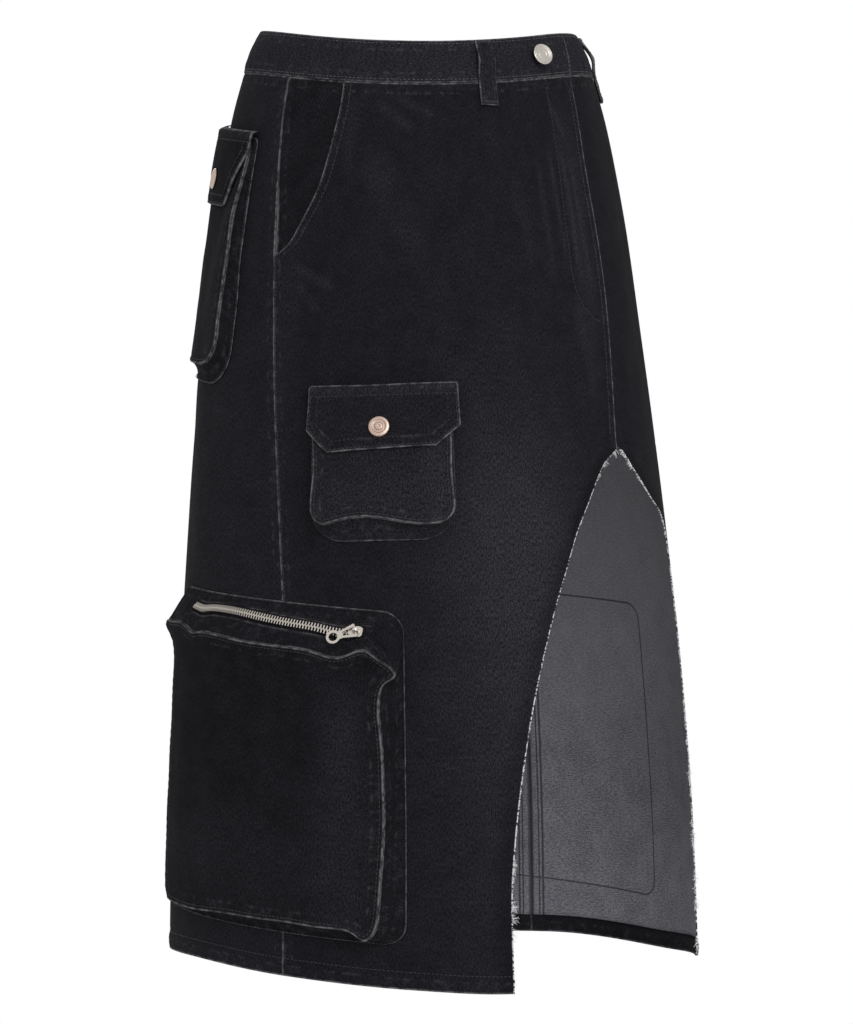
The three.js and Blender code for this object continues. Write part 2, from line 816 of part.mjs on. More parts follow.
// Big pockets with a zip along their sloping top gusset, one over each side seam.
// The zip's line wanders across the gusset, as its share of the way from the base to the face.
const ZIP_LINE = [
  { at: 0, across: 0.54 },
  { at: 0.3, across: 0.49 },
  { at: 0.6, across: 0.39 },
  { at: 0.9, across: 0.49 },
];
const ZIP = {
  sliderAt: 0.075,
  backEnd: 0.83,
  width: 5.8,
  height: 2.6,
  steps: 18,
};
const SLIDER = { length: 10.5, width: 8.6, height: 3.6, crownWidth: 2, hole: 1.6, wall: 1 };
const PULL = {
  thickness: 1.3,
  bar: 0.62,
  hingeWidth: 11,
  waistWidth: 6.4,
  waistAt: 13,
  ringRadius: 5.4,
  ringAt: 17.2,
  droop: radians(26),
  lean: radians(2.5),
};

function sliderSolid() {
  const { length, width, height, crownWidth, hole, wall } = SLIDER;
  const plan = new THREE.Shape();
  plan.moveTo(-length / 2, -width * 0.36);
  plan.lineTo(length * 0.1, -width / 2);
  plan.quadraticCurveTo(length / 2, -width / 2, length / 2, -width * 0.2);
  plan.lineTo(length / 2, width * 0.2);
  plan.quadraticCurveTo(length / 2, width / 2, length * 0.1, width / 2);
  plan.lineTo(-length / 2, width * 0.36);
  plan.closePath();
  const body = new THREE.ExtrudeGeometry(plan, { depth: height, bevelEnabled: false, curveSegments: 5 });
  const outer = hole + wall;
  const side = new THREE.Shape();
  side.moveTo(-outer, -0.5);
  side.lineTo(outer, -0.5);
  side.lineTo(outer, hole);
  side.absarc(0, hole, outer, 0, Math.PI, false);
  side.closePath();
  const eye = new THREE.Path();
  eye.absarc(0, hole, hole, 0, 2 * Math.PI, true);
  side.holes.push(eye);
  const crown = new THREE.ExtrudeGeometry(side, {
    depth: crownWidth,
    bevelEnabled: false,
    curveSegments: 10,
  });
  crown.translate(0, 0, -crownWidth / 2);
  crown.rotateX(Math.PI / 2);
  crown.translate(0, 0, height);
  return geometryFrom(solidFrom(body).add(solidFrom(crown)));
}

// The pull's hinge bar lies on the local Y axis and the ring points to -X.
function pullSolid() {
  const { thickness, bar, hingeWidth, waistWidth, waistAt, ringRadius, ringAt } = PULL;
  const half = hingeWidth / 2;
  const shape = new THREE.Shape();
  shape.moveTo(bar, -half + 1);
  shape.lineTo(bar, half - 1);
  shape.quadraticCurveTo(bar, half, bar - 1, half);
  shape.lineTo(-waistAt + 3, waistWidth / 2);
  const start = Math.acos((ringAt - waistAt) / ringRadius);
  shape.absarc(-ringAt, 0, ringRadius, start, 2 * Math.PI - start, false);
  shape.lineTo(-waistAt + 3, -waistWidth / 2);
  shape.lineTo(bar - 1, -half);
  shape.quadraticCurveTo(bar, -half, bar, -half + 1);
  const slot = new THREE.Path();
  slot.moveTo(-bar, 3.2);
  slot.lineTo(-bar, -3.2);
  slot.lineTo(-waistAt + 3.4, -1.6);
  slot.lineTo(-waistAt + 3.4, 1.6);
  slot.closePath();
  const eye = new THREE.Path();
  eye.absarc(-ringAt, 0, ringRadius - 2, 0, 2 * Math.PI, true);
  shape.holes.push(slot, eye);
  const plate = new THREE.ExtrudeGeometry(shape, {
    depth: thickness,
    bevelEnabled: false,
    curveSegments: 12,
  });
  plate.translate(0, 0, -thickness / 2);
  return geometryFrom(solidFrom(plate));
}

const ZIP_POCKET = {
  front: -62.3,
  angleSpan: 70.7,
  frontTop: 457,
  frontBottom: 704,
  backRise: 19,
  lean: 0,
  tuck: 0,
  slant: 11,
  radiusTop: 16,
  radiusBottom: 16,
  faceRadiusTop: 6,
  faceRadiusBottom: 13,
  levelSteps: 8,
  inset: { front: 15, back: 4, top: 31, bottom: 11 },
  crown: 2,
  depths: [
    { down: 0, front: 17.5, back: 16 },
    { down: 0.07, front: 15, back: 9.5 },
    { down: 0.2, front: 14, back: 8 },
    { down: 0.8, front: 16, back: 8.5 },
    { down: 1, front: 14.5, back: 8 },
  ],
};

// The top side of the ring runs from the front corner's end to the back corner's start.
const TOP_SIDE_START = 4 * CORNER_STEPS + 2 * UPRIGHT_STEPS + ZIP_POCKET.levelSteps;

function zipPocket(name, side) {
  const pocket = new Pocket({ ...ZIP_POCKET, name: `${name}_zip_pocket`, side });
  pocket.build();
  const ringAt = (u) => TOP_SIDE_START + u * ZIP_POCKET.levelSteps;
  const { sliderAt, backEnd, width, height, steps } = ZIP;
  const slope = pocket.gussetPoint(ringAt(0.5), 0).distanceTo(pocket.gussetPoint(ringAt(0.5), 1));
  // A place on the zip: along its run, off its line in millimetres, and off the cloth.
  const place = (u, off, lift) => {
    const share = along(ZIP_LINE, "at", "across", u) + off / slope;
    return pocket.gussetPoint(ringAt(u), share, lift);
  };
  const runLength = place(0, 0, 0).distanceTo(place(1, 0, 0));
  const sliderShare = SLIDER.length / 2 / runLength;
  const sections = [];
  const chainStart = sliderAt + sliderShare + SEAM / runLength;
  for (let step = 0; step <= steps; step += 1) {
    const u = lerp(chainStart, backEnd, step / steps);
    sections.push([
      place(u, -width / 2, SEAM),
      place(u, width / 2, SEAM),
      place(u, width / 2, SEAM + height),
      place(u, -width / 2, SEAM + height),
    ]);
  }
  addMesh(`${pocket.name}_chain`, barSolid(sections), METAL);

  const slider = new THREE.Group();
  const origin = place(sliderAt, 0, SEAM);
  const ahead = place(sliderAt - 0.02, 0, SEAM);
  standOn(slider, origin, ahead, place(sliderAt, side * 3, SEAM));
  addMesh(`${pocket.name}_slider`, sliderSolid(), METAL, slider);
  const hinge = new THREE.Group();
  hinge.position.z = SLIDER.height + SLIDER.hole;
  hinge.rotation.z = -side * PULL.droop;
  slider.add(hinge);
  const pull = addMesh(`${pocket.name}_pull`, pullSolid(), METAL, hinge);
  pull.rotation.y = -PULL.lean;
}

zipPocket("right", -1);
zipPocket("left", 1);

export default skirt;
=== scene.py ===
import json
import math

import bpy
import numpy as np
from mathutils import Vector
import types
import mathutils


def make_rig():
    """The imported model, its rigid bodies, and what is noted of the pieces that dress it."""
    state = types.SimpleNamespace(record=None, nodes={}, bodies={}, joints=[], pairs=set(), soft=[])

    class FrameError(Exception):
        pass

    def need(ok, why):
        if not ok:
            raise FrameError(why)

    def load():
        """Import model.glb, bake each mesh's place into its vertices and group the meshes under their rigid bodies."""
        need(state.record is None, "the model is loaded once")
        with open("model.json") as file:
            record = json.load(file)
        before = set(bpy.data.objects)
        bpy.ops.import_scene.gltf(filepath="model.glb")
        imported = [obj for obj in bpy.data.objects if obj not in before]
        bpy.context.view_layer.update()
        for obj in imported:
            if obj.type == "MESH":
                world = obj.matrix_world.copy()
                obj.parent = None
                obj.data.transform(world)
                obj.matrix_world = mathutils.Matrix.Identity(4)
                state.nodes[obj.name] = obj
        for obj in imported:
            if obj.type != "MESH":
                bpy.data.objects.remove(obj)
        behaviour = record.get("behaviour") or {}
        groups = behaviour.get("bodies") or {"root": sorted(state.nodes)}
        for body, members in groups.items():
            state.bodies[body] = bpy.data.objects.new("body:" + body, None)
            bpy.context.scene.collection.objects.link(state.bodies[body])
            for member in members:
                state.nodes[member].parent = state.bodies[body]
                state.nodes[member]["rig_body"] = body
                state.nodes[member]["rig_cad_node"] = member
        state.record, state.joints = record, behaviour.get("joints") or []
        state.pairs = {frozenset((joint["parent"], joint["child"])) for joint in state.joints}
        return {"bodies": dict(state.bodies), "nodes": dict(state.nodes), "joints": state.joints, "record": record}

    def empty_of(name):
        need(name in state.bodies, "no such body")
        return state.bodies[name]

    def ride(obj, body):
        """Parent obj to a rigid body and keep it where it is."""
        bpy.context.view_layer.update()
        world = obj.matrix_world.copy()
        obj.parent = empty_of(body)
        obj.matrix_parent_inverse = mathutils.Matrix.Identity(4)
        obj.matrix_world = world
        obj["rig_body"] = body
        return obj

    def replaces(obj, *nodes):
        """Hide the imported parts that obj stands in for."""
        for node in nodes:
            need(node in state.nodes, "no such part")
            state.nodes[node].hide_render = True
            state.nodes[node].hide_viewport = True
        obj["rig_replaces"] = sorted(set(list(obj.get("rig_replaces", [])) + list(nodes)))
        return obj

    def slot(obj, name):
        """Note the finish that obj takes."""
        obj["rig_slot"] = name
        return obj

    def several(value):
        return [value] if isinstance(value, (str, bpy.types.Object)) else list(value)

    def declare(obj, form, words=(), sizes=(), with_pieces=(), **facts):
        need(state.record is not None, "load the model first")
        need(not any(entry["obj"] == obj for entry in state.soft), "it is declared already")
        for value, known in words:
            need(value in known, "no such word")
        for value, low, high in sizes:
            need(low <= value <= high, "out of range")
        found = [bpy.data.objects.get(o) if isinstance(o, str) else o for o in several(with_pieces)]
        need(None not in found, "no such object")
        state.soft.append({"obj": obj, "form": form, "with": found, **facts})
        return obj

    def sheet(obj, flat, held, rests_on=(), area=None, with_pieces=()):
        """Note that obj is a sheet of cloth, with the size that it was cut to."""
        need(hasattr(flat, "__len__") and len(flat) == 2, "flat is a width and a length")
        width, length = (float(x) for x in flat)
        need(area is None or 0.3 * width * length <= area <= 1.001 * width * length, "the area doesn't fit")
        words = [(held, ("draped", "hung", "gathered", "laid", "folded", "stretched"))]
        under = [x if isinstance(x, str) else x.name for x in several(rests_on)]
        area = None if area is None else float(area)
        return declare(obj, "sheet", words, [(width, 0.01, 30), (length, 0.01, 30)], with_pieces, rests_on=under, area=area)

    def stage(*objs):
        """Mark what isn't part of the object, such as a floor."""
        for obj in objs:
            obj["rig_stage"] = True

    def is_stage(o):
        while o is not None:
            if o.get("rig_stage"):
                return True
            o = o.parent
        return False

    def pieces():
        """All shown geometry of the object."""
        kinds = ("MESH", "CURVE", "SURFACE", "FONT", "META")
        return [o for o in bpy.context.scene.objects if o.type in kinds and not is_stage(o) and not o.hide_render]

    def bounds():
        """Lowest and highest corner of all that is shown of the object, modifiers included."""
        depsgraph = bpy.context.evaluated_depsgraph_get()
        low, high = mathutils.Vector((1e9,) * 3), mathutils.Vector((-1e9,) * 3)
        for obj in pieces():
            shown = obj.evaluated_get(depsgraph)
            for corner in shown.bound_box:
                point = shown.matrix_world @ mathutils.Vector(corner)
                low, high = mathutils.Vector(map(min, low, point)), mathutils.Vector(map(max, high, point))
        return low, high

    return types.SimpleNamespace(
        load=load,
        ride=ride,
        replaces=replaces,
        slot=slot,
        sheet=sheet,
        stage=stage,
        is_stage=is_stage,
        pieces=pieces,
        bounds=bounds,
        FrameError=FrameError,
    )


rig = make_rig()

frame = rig.load()
cad_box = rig.bounds()

# Sizes are in millimetres and degrees, the same as the solids', and meshes are written in metres.
MM = 0.001
CLOTH = 1.1
BAND_WALL = 2.4
FLAP_WALL = 2.2
STRAP_WALL = 2.2
SEAM = 0.3
LAP = 2.3
LAP_CLEARANCE = 0.8
BAND_HEIGHT = 33.5
BAND_PROUD = 0.6
HEM_TURN_UP = 14
DIP_DEPTH = 22
DIP_ANGLE = -57
DIP_REACH_BACK = 100
DIP_REACH_FRONT = 90
DEPTH_RATIO = 0.856
SQUARENESS = 0.012
SLASH_END = 187
SLIT_TOP = 333
UNDERLAP_ANGLE = 5.5
ALLOWANCE = 10.9
ALLOWANCE_ROW = 7.5
GRID = 3.4
FOOT = 0.8
SHALLOWEST = 5.4
FAR = 50.0
# Near enough, the cloth in one degree round the body: for creases, and for a panel's grid and grain.
PER_DEGREE = 3.5
PANEL_PER_DEGREE = 3.6

# (drop, half width)
HALF_WIDTH = [
    (0, 139.4), (20, 149.4), (40, 156.2), (70, 165.2), (110, 174), (160, 182.7),
    (230, 192.6), (310, 202.7), (400, 211.8), (500, 221), (620, 229), (745, 233.8),
]
# (drop, how far the ring lies forward)
FORWARD = [
    (0, 0), (20, 0), (40, 0), (70, 0.3), (110, 0.9), (160, 2.1),
    (230, 3.2), (310, 5.3), (400, 8.8), (500, 12), (620, 14.6), (745, 15.4),
]
# (drop, angle from the centre front, the wearer's left positive)
SIDE_SEAM = {
    -1: [(30, -102.3), (187, -99.3), (333, -95), (402, -93.2), (450, -91.9), (745, -90)],
    1: [(30, 100), (745, 100.6)],
}
# (drop, how many degrees the slash pocket's edge lies ahead of the side seam)
SLASH_AHEAD = [(30, 21.6), (66, 21.2), (100, 18.4), (134, 14.4), (164, 8.2), (178, 4.6), (187, 0)]
# (drop, angle)
FLY_EDGE = [(30, 2.6), (110, 0.5), (215, 1.9), (325, -1.4)]
SLIT_RIGHT = [
    (333, -1.4), (344, -7.4), (377, -15.2), (404, -20.5), (462, -28.2),
    (547, -35.5), (650, -40), (745, -40.2),
]
SLIT_LEFT = [
    (333, 0.6), (353, 7.6), (371, 15.2), (383, 22.8), (402, 28.6), (440, 31), (745, 33.5),
]
# (angle, drop)
HEM = [
    (-180, 729), (-122, 722), (-90, 729), (-60, 737), (-40, 741.5),
    (33, 739.5), (60, 743), (92, 738.5), (130, 740), (180, 729),
]


def smooth(t):
    """An even step from 0 to 1 as t does."""
    t = np.clip(t, 0, 1)
    return t * t * (3 - 2 * t)


def hump(at, centre, reach):
    """A soft bump, 1 at its centre and about a third at its reach."""
    return np.exp(-(((at - centre) / reach) ** 2))


def rounding(distance, radius):
    """How far a rounded-off edge falls at a distance in from it, as a share of the radius."""
    return 1 - np.sqrt(np.clip(1 - (1 - np.clip(distance / radius, 0, 1)) ** 2, 0, 1))


def run_along(points):
    """The length of a line of points up to each of them."""
    return np.concatenate([[0], np.cumsum(np.linalg.norm(np.diff(points, axis=0), axis=1))])


def along(table, at):
    """The smooth curve through the rows of a table that the solids use."""
    x, y = np.array(table, float).T
    at = np.asarray(at, float)
    i = np.clip(np.searchsorted(x, at) - 1, 0, len(x) - 2)
    low = np.maximum(i - 1, 0)
    high = np.minimum(i + 2, len(x) - 1)
    before = (y[i + 1] - y[low]) / (x[i + 1] - x[low])
    after = (y[high] - y[i]) / (x[high] - x[i])
    step = x[i + 1] - x[i]
    t = np.clip((at - x[i]) / step, 0, 1)
    rise = y[i + 1] - y[i]
    bend = t * (1 - t) * ((before * step - rise) * (1 - t) - (after * step - rise) * t)
    return y[i] + rise * t + bend


def wrapped(angle):
    return (angle + 180) % 360 - 180


def straight(table, at):
    x, y = np.array(table, float).T
    return np.interp(at, x, y)


def skirt_point(angle, drop, out=0.0):
    """A place on the body's smooth form, out from it by so many mm."""
    angle, drop, out = np.broadcast_arrays(np.asarray(angle, float), drop, out)
    half_width = along(HALF_WIDTH, drop)
    half_depth = half_width * DEPTH_RATIO
    t = np.radians(angle)
    full = 1 - SQUARENESS * np.cos(4 * t)
    swell = 4 * SQUARENESS * np.sin(4 * t)
    tx = half_width * (np.cos(t) * full + np.sin(t) * swell)
    ty = half_depth * (np.sin(t) * full - np.cos(t) * swell)
    length = np.hypot(tx, ty)
    x = half_width * np.sin(t) * full + out * ty / length
    y = -half_depth * np.cos(t) * full - out * tx / length - along(FORWARD, drop)
    return np.stack([x, y, -drop * np.ones_like(x)], -1)


def per_degree(angle, drop):
    """The length of one degree round the body, in mm."""
    step = skirt_point(angle + 0.5, drop) - skirt_point(angle - 0.5, drop)
    return np.linalg.norm(step, axis=-1)


def waist_edge(angle):
    turn = wrapped(np.asarray(angle, float) - DIP_ANGLE)
    reach = np.minimum(1, np.abs(turn) / np.where(turn < 0, DIP_REACH_BACK, DIP_REACH_FRONT))
    return DIP_DEPTH * np.cos(0.5 * np.pi * reach) ** 2


def hem_edge(angle):
    return along(HEM, wrapped(np.asarray(angle, float)))


def side_seam(side, drop):
    return straight(SIDE_SEAM[side], drop)


def slash_edge(side, drop):
    return side_seam(side, drop) - side * along(SLASH_AHEAD, drop)


def fly_edge(drop):
    return along(FLY_EDGE, drop)


def corner_cut(y, radius):
    """How far a rounded corner cuts in, at a distance from the edge it turns into."""
    return radius - np.sqrt(np.maximum(radius**2 - np.maximum(radius - y, 0) ** 2, 0))


def inside_distance(x, y, left, right, top, bottom, radius_top, radius_bottom):
    """Distance in from a rounded outline."""
    radius = np.where(y < (top + bottom) / 2, radius_top, radius_bottom)
    dx = np.minimum(x - left, right - x)
    dy = np.minimum(y - top, bottom - y)
    corner = radius - np.hypot(np.maximum(radius - dx, 0), np.maximum(radius - dy, 0))
    return np.where((dx < radius) & (dy < radius), corner, np.minimum(dx, dy))


# Meshes
def mesh_piece(name, points, faces, materials, uv=None, face_material=None, values=None):
    """A mesh object from points in millimetres and a list of arrays of faces."""
    mesh = bpy.data.meshes.new(name)
    mesh.vertices.add(len(points))
    mesh.vertices.foreach_set("co", (np.asarray(points, float) * MM).astype(np.float32).ravel())
    sizes = np.concatenate([np.full(len(f), f.shape[1]) for f in faces])
    corners = np.concatenate([f.ravel() for f in faces]).astype(np.int32)
    mesh.loops.add(len(corners))
    mesh.loops.foreach_set("vertex_index", corners)
    mesh.polygons.add(len(sizes))
    starts = np.concatenate([[0], np.cumsum(sizes)[:-1]]).astype(np.int32)
    mesh.polygons.foreach_set("loop_start", starts)
    if face_material is not None:
        mesh.polygons.foreach_set("material_index", face_material.astype(np.int32))
    mesh.polygons.foreach_set("use_smooth", np.ones(len(sizes), bool))
    if uv is not None:
        layer = mesh.uv_layers.new(name="cloth")
        layer.data.foreach_set("uv", (uv[corners] * 0.01).astype(np.float32).ravel())
    for key, value in (values or {}).items():
        attribute = mesh.attributes.new(key, "FLOAT", "POINT")
        attribute.data.foreach_set("value", np.asarray(value, np.float32).ravel())
    for material in materials:
        mesh.materials.append(material)
    mesh.update(calc_edges=True)
    mesh.validate()
    obj = bpy.data.objects.new(name, mesh)
    bpy.context.scene.collection.objects.link(obj)
    return obj


def signed_volume(points, faces):
    total = 0.0
    for block in faces:
        for k in range(1, block.shape[1] - 1):
            a, b, c = points[block[:, 0]], points[block[:, k]], points[block[:, k + 1]]
            total += np.einsum("ij,ij->i", a, np.cross(b, c)).sum()
    return total


def shell(name, outer, inner, uv, materials, values=None, ring=False, inside_material=None):
    """A closed thin wall from rows of outer and inner points, which may close into a ring."""
    rows, columns = outer.shape[:2]
    ids = np.arange(rows * columns).reshape(rows, columns)
    if ring:
        ids = np.concatenate([ids, ids[:, :1]], 1)
    a, b, c, d = ids[:-1, :-1], ids[:-1, 1:], ids[1:, 1:], ids[1:, :-1]
    front = np.stack([a, b, c, d], -1).reshape(-1, 4)
    n = rows * columns
    back = front[:, ::-1] + n
    rims = [
        np.stack([ids[0, 1:], ids[0, :-1], ids[0, :-1] + n, ids[0, 1:] + n], -1),
        np.stack([ids[-1, :-1], ids[-1, 1:], ids[-1, 1:] + n, ids[-1, :-1] + n], -1),
    ]
    if not ring:
        rims.append(np.stack([ids[:-1, 0], ids[1:, 0], ids[1:, 0] + n, ids[:-1, 0] + n], -1))
        rims.append(np.stack([ids[1:, -1], ids[:-1, -1], ids[:-1, -1] + n, ids[1:, -1] + n], -1))
    faces = np.concatenate([front, back, *rims])
    points = np.concatenate([outer.reshape(-1, 3), inner.reshape(-1, 3)])
    if signed_volume(points, [faces]) < 0:
        faces = faces[:, ::-1]
    which = np.zeros(len(faces), int)
    inside = 1 if len(materials) > 1 else 0
    which[len(front):2 * len(front)] = inside
    if inside_material is not None:
        which[len(front):2 * len(front)] = inside_material.reshape(-1)
    doubled = {key: np.concatenate([v.ravel(), v.ravel()]) for key, v in (values or {}).items()}
    flat_uv = uv.reshape(-1, 2)
    return mesh_piece(
        name, points, [faces], materials, np.concatenate([flat_uv, flat_uv]), which, doubled
    )


def spread(length, step, fine):
    """Distances along a length, evenly spaced but for the fine ones near each end."""
    count = max(2, int(round((length - 2 * fine[-1]) / step)))
    middle = np.linspace(fine[-1], length - fine[-1], count + 1)[1:-1]
    return np.concatenate([fine, middle, length - np.array(fine[::-1])])


def plain_values(shape, **given):
    """The cloth's attributes, plain but for the ones given."""
    values = {"edge": FAR, "fade": 0.1, "fray": FAR, "trace": 9.0, "lap": 9.0, "pale": 0.0}
    values.update(given)
    return {key: np.broadcast_to(value, shape).astype(float) for key, value in values.items()}


# Materials
class Nodes:
    """Builds one procedural material around its Principled shader."""

    def __init__(self, name, colour, roughness, metallic=0.0):
        self.material = bpy.data.materials.new(name)
        self.material.use_nodes = True
        self.tree = self.material.node_tree
        self.shader = self.tree.nodes["Principled BSDF"]
        self.shader.inputs["Base Color"].default_value = (*colour, 1)
        self.shader.inputs["Roughness"].default_value = roughness
        self.shader.inputs["Metallic"].default_value = metallic
        self.material.diffuse_color = (*colour, 1)

    def put(self, value, socket):
        if isinstance(value, bpy.types.NodeSocket):
            self.tree.links.new(value, socket)
        else:
            socket.default_value = value

    def math(self, operation, a, b=0.0, clamp=False):
        node = self.tree.nodes.new("ShaderNodeMath")
        node.operation = operation
        node.use_clamp = clamp
        self.put(a, node.inputs[0])
        self.put(b, node.inputs[1])
        return node.outputs[0]

    def value(self, attribute):
        node = self.tree.nodes.new("ShaderNodeAttribute")
        node.attribute_name = attribute
        return node.outputs["Fac"]

    def cloth_uv(self, scale=(1, 1, 1), turn=0.0):
        uv = self.tree.nodes.new("ShaderNodeUVMap")
        uv.uv_map = "cloth"
        mapping = self.tree.nodes.new("ShaderNodeMapping")
        mapping.inputs["Scale"].default_value = scale
        mapping.inputs["Rotation"].default_value = (0, 0, turn)
        self.put(uv.outputs[0], mapping.inputs["Vector"])
        return mapping.outputs[0]

    def noise(self, vector, scale, detail=2.0, roughness=0.55):
        node = self.tree.nodes.new("ShaderNodeTexNoise")
        node.inputs["Scale"].default_value = scale
        node.inputs["Detail"].default_value = detail
        node.inputs["Roughness"].default_value = roughness
        if vector is not None:
            self.put(vector, node.inputs["Vector"])
        return node.outputs["Fac"]

    def waves(self, vector, scale):
        node = self.tree.nodes.new("ShaderNodeTexWave")
        node.inputs["Scale"].default_value = scale
        self.put(vector, node.inputs["Vector"])
        return node.outputs["Fac"]

    def remap(self, value, low, high, to_low=0.0, to_high=1.0):
        node = self.tree.nodes.new("ShaderNodeMapRange")
        node.interpolation_type = "SMOOTHSTEP"
        self.put(value, node.inputs["Value"])
        for key, number in zip(
            ("From Min", "From Max", "To Min", "To Max"), (low, high, to_low, to_high)
        ):
            node.inputs[key].default_value = number
        return node.outputs[0]

    def near(self, value, centre, reach, full):
        """A line drawn where a value is within full of its centre, gone by its reach."""
        return self.remap(self.math("ABSOLUTE", self.math("SUBTRACT", value, centre)), reach, full)

    def mix(self, share, a, b):
        node = self.tree.nodes.new("ShaderNodeMix")
        node.data_type = "RGBA"
        self.put(share, node.inputs[0])
        self.put((*a, 1) if isinstance(a, tuple) else a, node.inputs[6])
        self.put((*b, 1) if isinstance(b, tuple) else b, node.inputs[7])
        return node.outputs[2]

    def bump(self, height, strength, distance):
        node = self.tree.nodes.new("ShaderNodeBump")
        node.inputs["Strength"].default_value = strength
        node.inputs["Distance"].default_value = distance
        self.put(height, node.inputs["Height"])
        self.put(node.outputs[0], self.shader.inputs["Normal"])

    def sum(self, *terms):
        total = terms[0]
        for term in terms[1:]:
            total = self.math("ADD", total, term)
        return total

    def product(self, *terms):
        total = terms[0]
        for term in terms[1:]:
            total = self.math("MULTIPLY", total, term)
        return total


EDGE_WEAR = (0.15, 0.15, 0.16)
RAW_EDGE = (0.55, 0.55, 0.56)
SEAM_WEAR = 0.8
WASH_WEAR = 0.9


def denim(name, dark, light, heather=0.15):
    """Washed twill: fine heathered grain, worn places, whitened seam edges and pale raw ones, and painted shade that
    darkens the cloth next to the raw slit edges.
    edge is the distance to the nearest sewn edge in mm, fray to a raw one, fade the wash."""
    n = Nodes(name, dark, 0.96)
    n.shader.inputs["Specular IOR Level"].default_value = 0.03
    grain = n.noise(n.cloth_uv(), 120, 3.0, 0.75)
    streak = n.noise(n.cloth_uv((1, 0.4, 1)), 95, 3.0, 0.65)
    mottle = n.noise(n.cloth_uv(), 3.4, 3.0, 0.6)
    pucker = n.noise(n.cloth_uv(), 15, 2.0, 0.5)
    fleck = n.remap(n.sum(n.product(grain, 0.55), n.product(streak, 0.45)), 0.39, 0.63)
    speck = n.remap(n.noise(n.cloth_uv(), 130, 2.0, 0.6), 0.58, 0.72)
    cloud = n.noise(n.cloth_uv(), 9, 2.0, 0.6)
    # Painted shade: within 20 mm of a raw slit edge, up to 0.3 is taken off the wash fade, so the cloth there is
    # darker.
    shade = n.remap(n.value("fray"), 20, 4, 0, 0.3)
    mottle_and_slit_shade = n.sum(n.product(mottle, 0.45), n.product(cloud, 0.35), n.product(shade, -1), -0.4)
    # fade here is the wash fade with the random mottle and the painted slit-edge shade added in.
    fade = n.math("ADD", n.value("fade"), mottle_and_slit_shade, True)
    edge = n.value("edge")
    line = n.product(
        n.remap(edge, 1.7, 0.5), n.remap(pucker, 0.34, 0.66, 0.2, 1.0), n.remap(grain, 0.3, 0.6, 0.45, 1.0)
    )
    second = n.product(n.near(edge, 8.0, 1.5, 0.3), n.remap(pucker, 0.46, 0.7))
    rope = n.product(n.remap(edge, 12, 3), n.remap(pucker, 0.46, 0.74))
    share = n.sum(
        n.product(fleck, n.math("ADD", n.product(fade, WASH_WEAR), heather)),
        n.product(rope, n.math("ADD", n.product(fleck, 0.3), 0.06)),
        n.product(speck, 0.2),
    )
    colour = n.mix(n.math("MINIMUM", share, 1.0), dark, light)
    worn_edge = n.sum(n.product(line, SEAM_WEAR), n.product(second, SEAM_WEAR * 0.1))
    colour = n.mix(n.math("MINIMUM", worn_edge, 1.0), colour, EDGE_WEAR)
    tuft = n.noise(n.cloth_uv(), 42, 2.0, 0.5)
    fray = n.product(n.remap(n.value("fray"), 1.4, 0.3), n.remap(tuft, 0.46, 0.54, 0.03, 1.0))
    n.put(n.mix(fray, colour, RAW_EDGE), n.shader.inputs["Base Color"])
    n.bump(n.sum(n.product(fleck, 0.3), n.product(pucker, n.remap(edge, 16, 2, 0.5, 3.0))), 0.5, 0.0006)
    return n.material


def metal(name, colour, roughness, tarnish, amount):
    n = Nodes(name, colour, roughness, 1.0)
    blotch = n.noise(None, 900, 3.0, 0.6)
    n.put(n.mix(n.remap(blotch, 0.35, 0.75, 0, amount), colour, tarnish), n.shader.inputs["Base Color"])
    n.bump(n.noise(None, 4000, 2.0), 0.12, 0.0002)
    return n.material


BLACK = (0.0040, 0.0038, 0.0050)
WORN = (0.040, 0.039, 0.047)
DEEP_BLACK = (0.0034, 0.0033, 0.0043)
cloth_front = denim("washed black denim", BLACK, WORN)
cloth_pocket = denim("pocket denim", DEEP_BLACK, WORN, heather=0.12)
cloth_facing = denim("facing denim", DEEP_BLACK, WORN, heather=0.12)


def wrong_side(name):
    """The grey wrong side of the twill, where the pale weft lies on top. The signed distances
    trace and lap draw the pocket's stitch line and the edges of the seam allowances."""
    n = Nodes(name, (0.12, 0.12, 0.13), 0.95)
    n.shader.inputs["Specular IOR Level"].default_value = 0.1
    grain = n.noise(n.cloth_uv(), 105, 3.0, 0.75)
    slub = n.noise(n.cloth_uv((0.3, 1, 1)), 90, 3.0, 0.7)
    mottle = n.noise(n.cloth_uv(), 4, 3.0, 0.6)
    share = n.sum(n.product(grain, 0.62), n.product(slub, 0.35), n.product(mottle, 0.1))
    colour = n.mix(n.remap(share, 0.435, 0.635), (0.055, 0.055, 0.064), (0.215, 0.215, 0.235))
    colour = n.mix(n.value("pale"), colour, (0.50, 0.50, 0.53))
    trace = n.near(n.value("trace"), 0, 1.0, 0.4)
    lap = n.near(n.value("lap"), 0, 1.2, 0.5)
    seam = n.near(n.value("lap"), -ALLOWANCE, 3.6, 0.8)
    row = n.near(n.value("lap"), ALLOWANCE_ROW - ALLOWANCE, 1.0, 0.4)
    lines = n.math("MAXIMUM", n.math("MAXIMUM", trace, lap), n.math("MAXIMUM", seam, row))
    marks = n.product(lines, n.remap(grain, 0.3, 0.55, 0.35, 0.9))
    colour = n.mix(marks, colour, (0.03, 0.03, 0.034))
    fray = n.product(n.remap(n.value("fray"), 2.0, 0.2), n.remap(mottle, 0.36, 0.56, 0.2, 1.0))
    n.put(n.mix(fray, colour, (0.7, 0.7, 0.71)), n.shader.inputs["Base Color"])
    twill = n.waves(n.cloth_uv((1, 1, 1), math.radians(-62)), 38)
    n.bump(n.sum(n.product(twill, 0.2), n.product(share, 1.2)), 0.5, 0.0006)
    return n.material


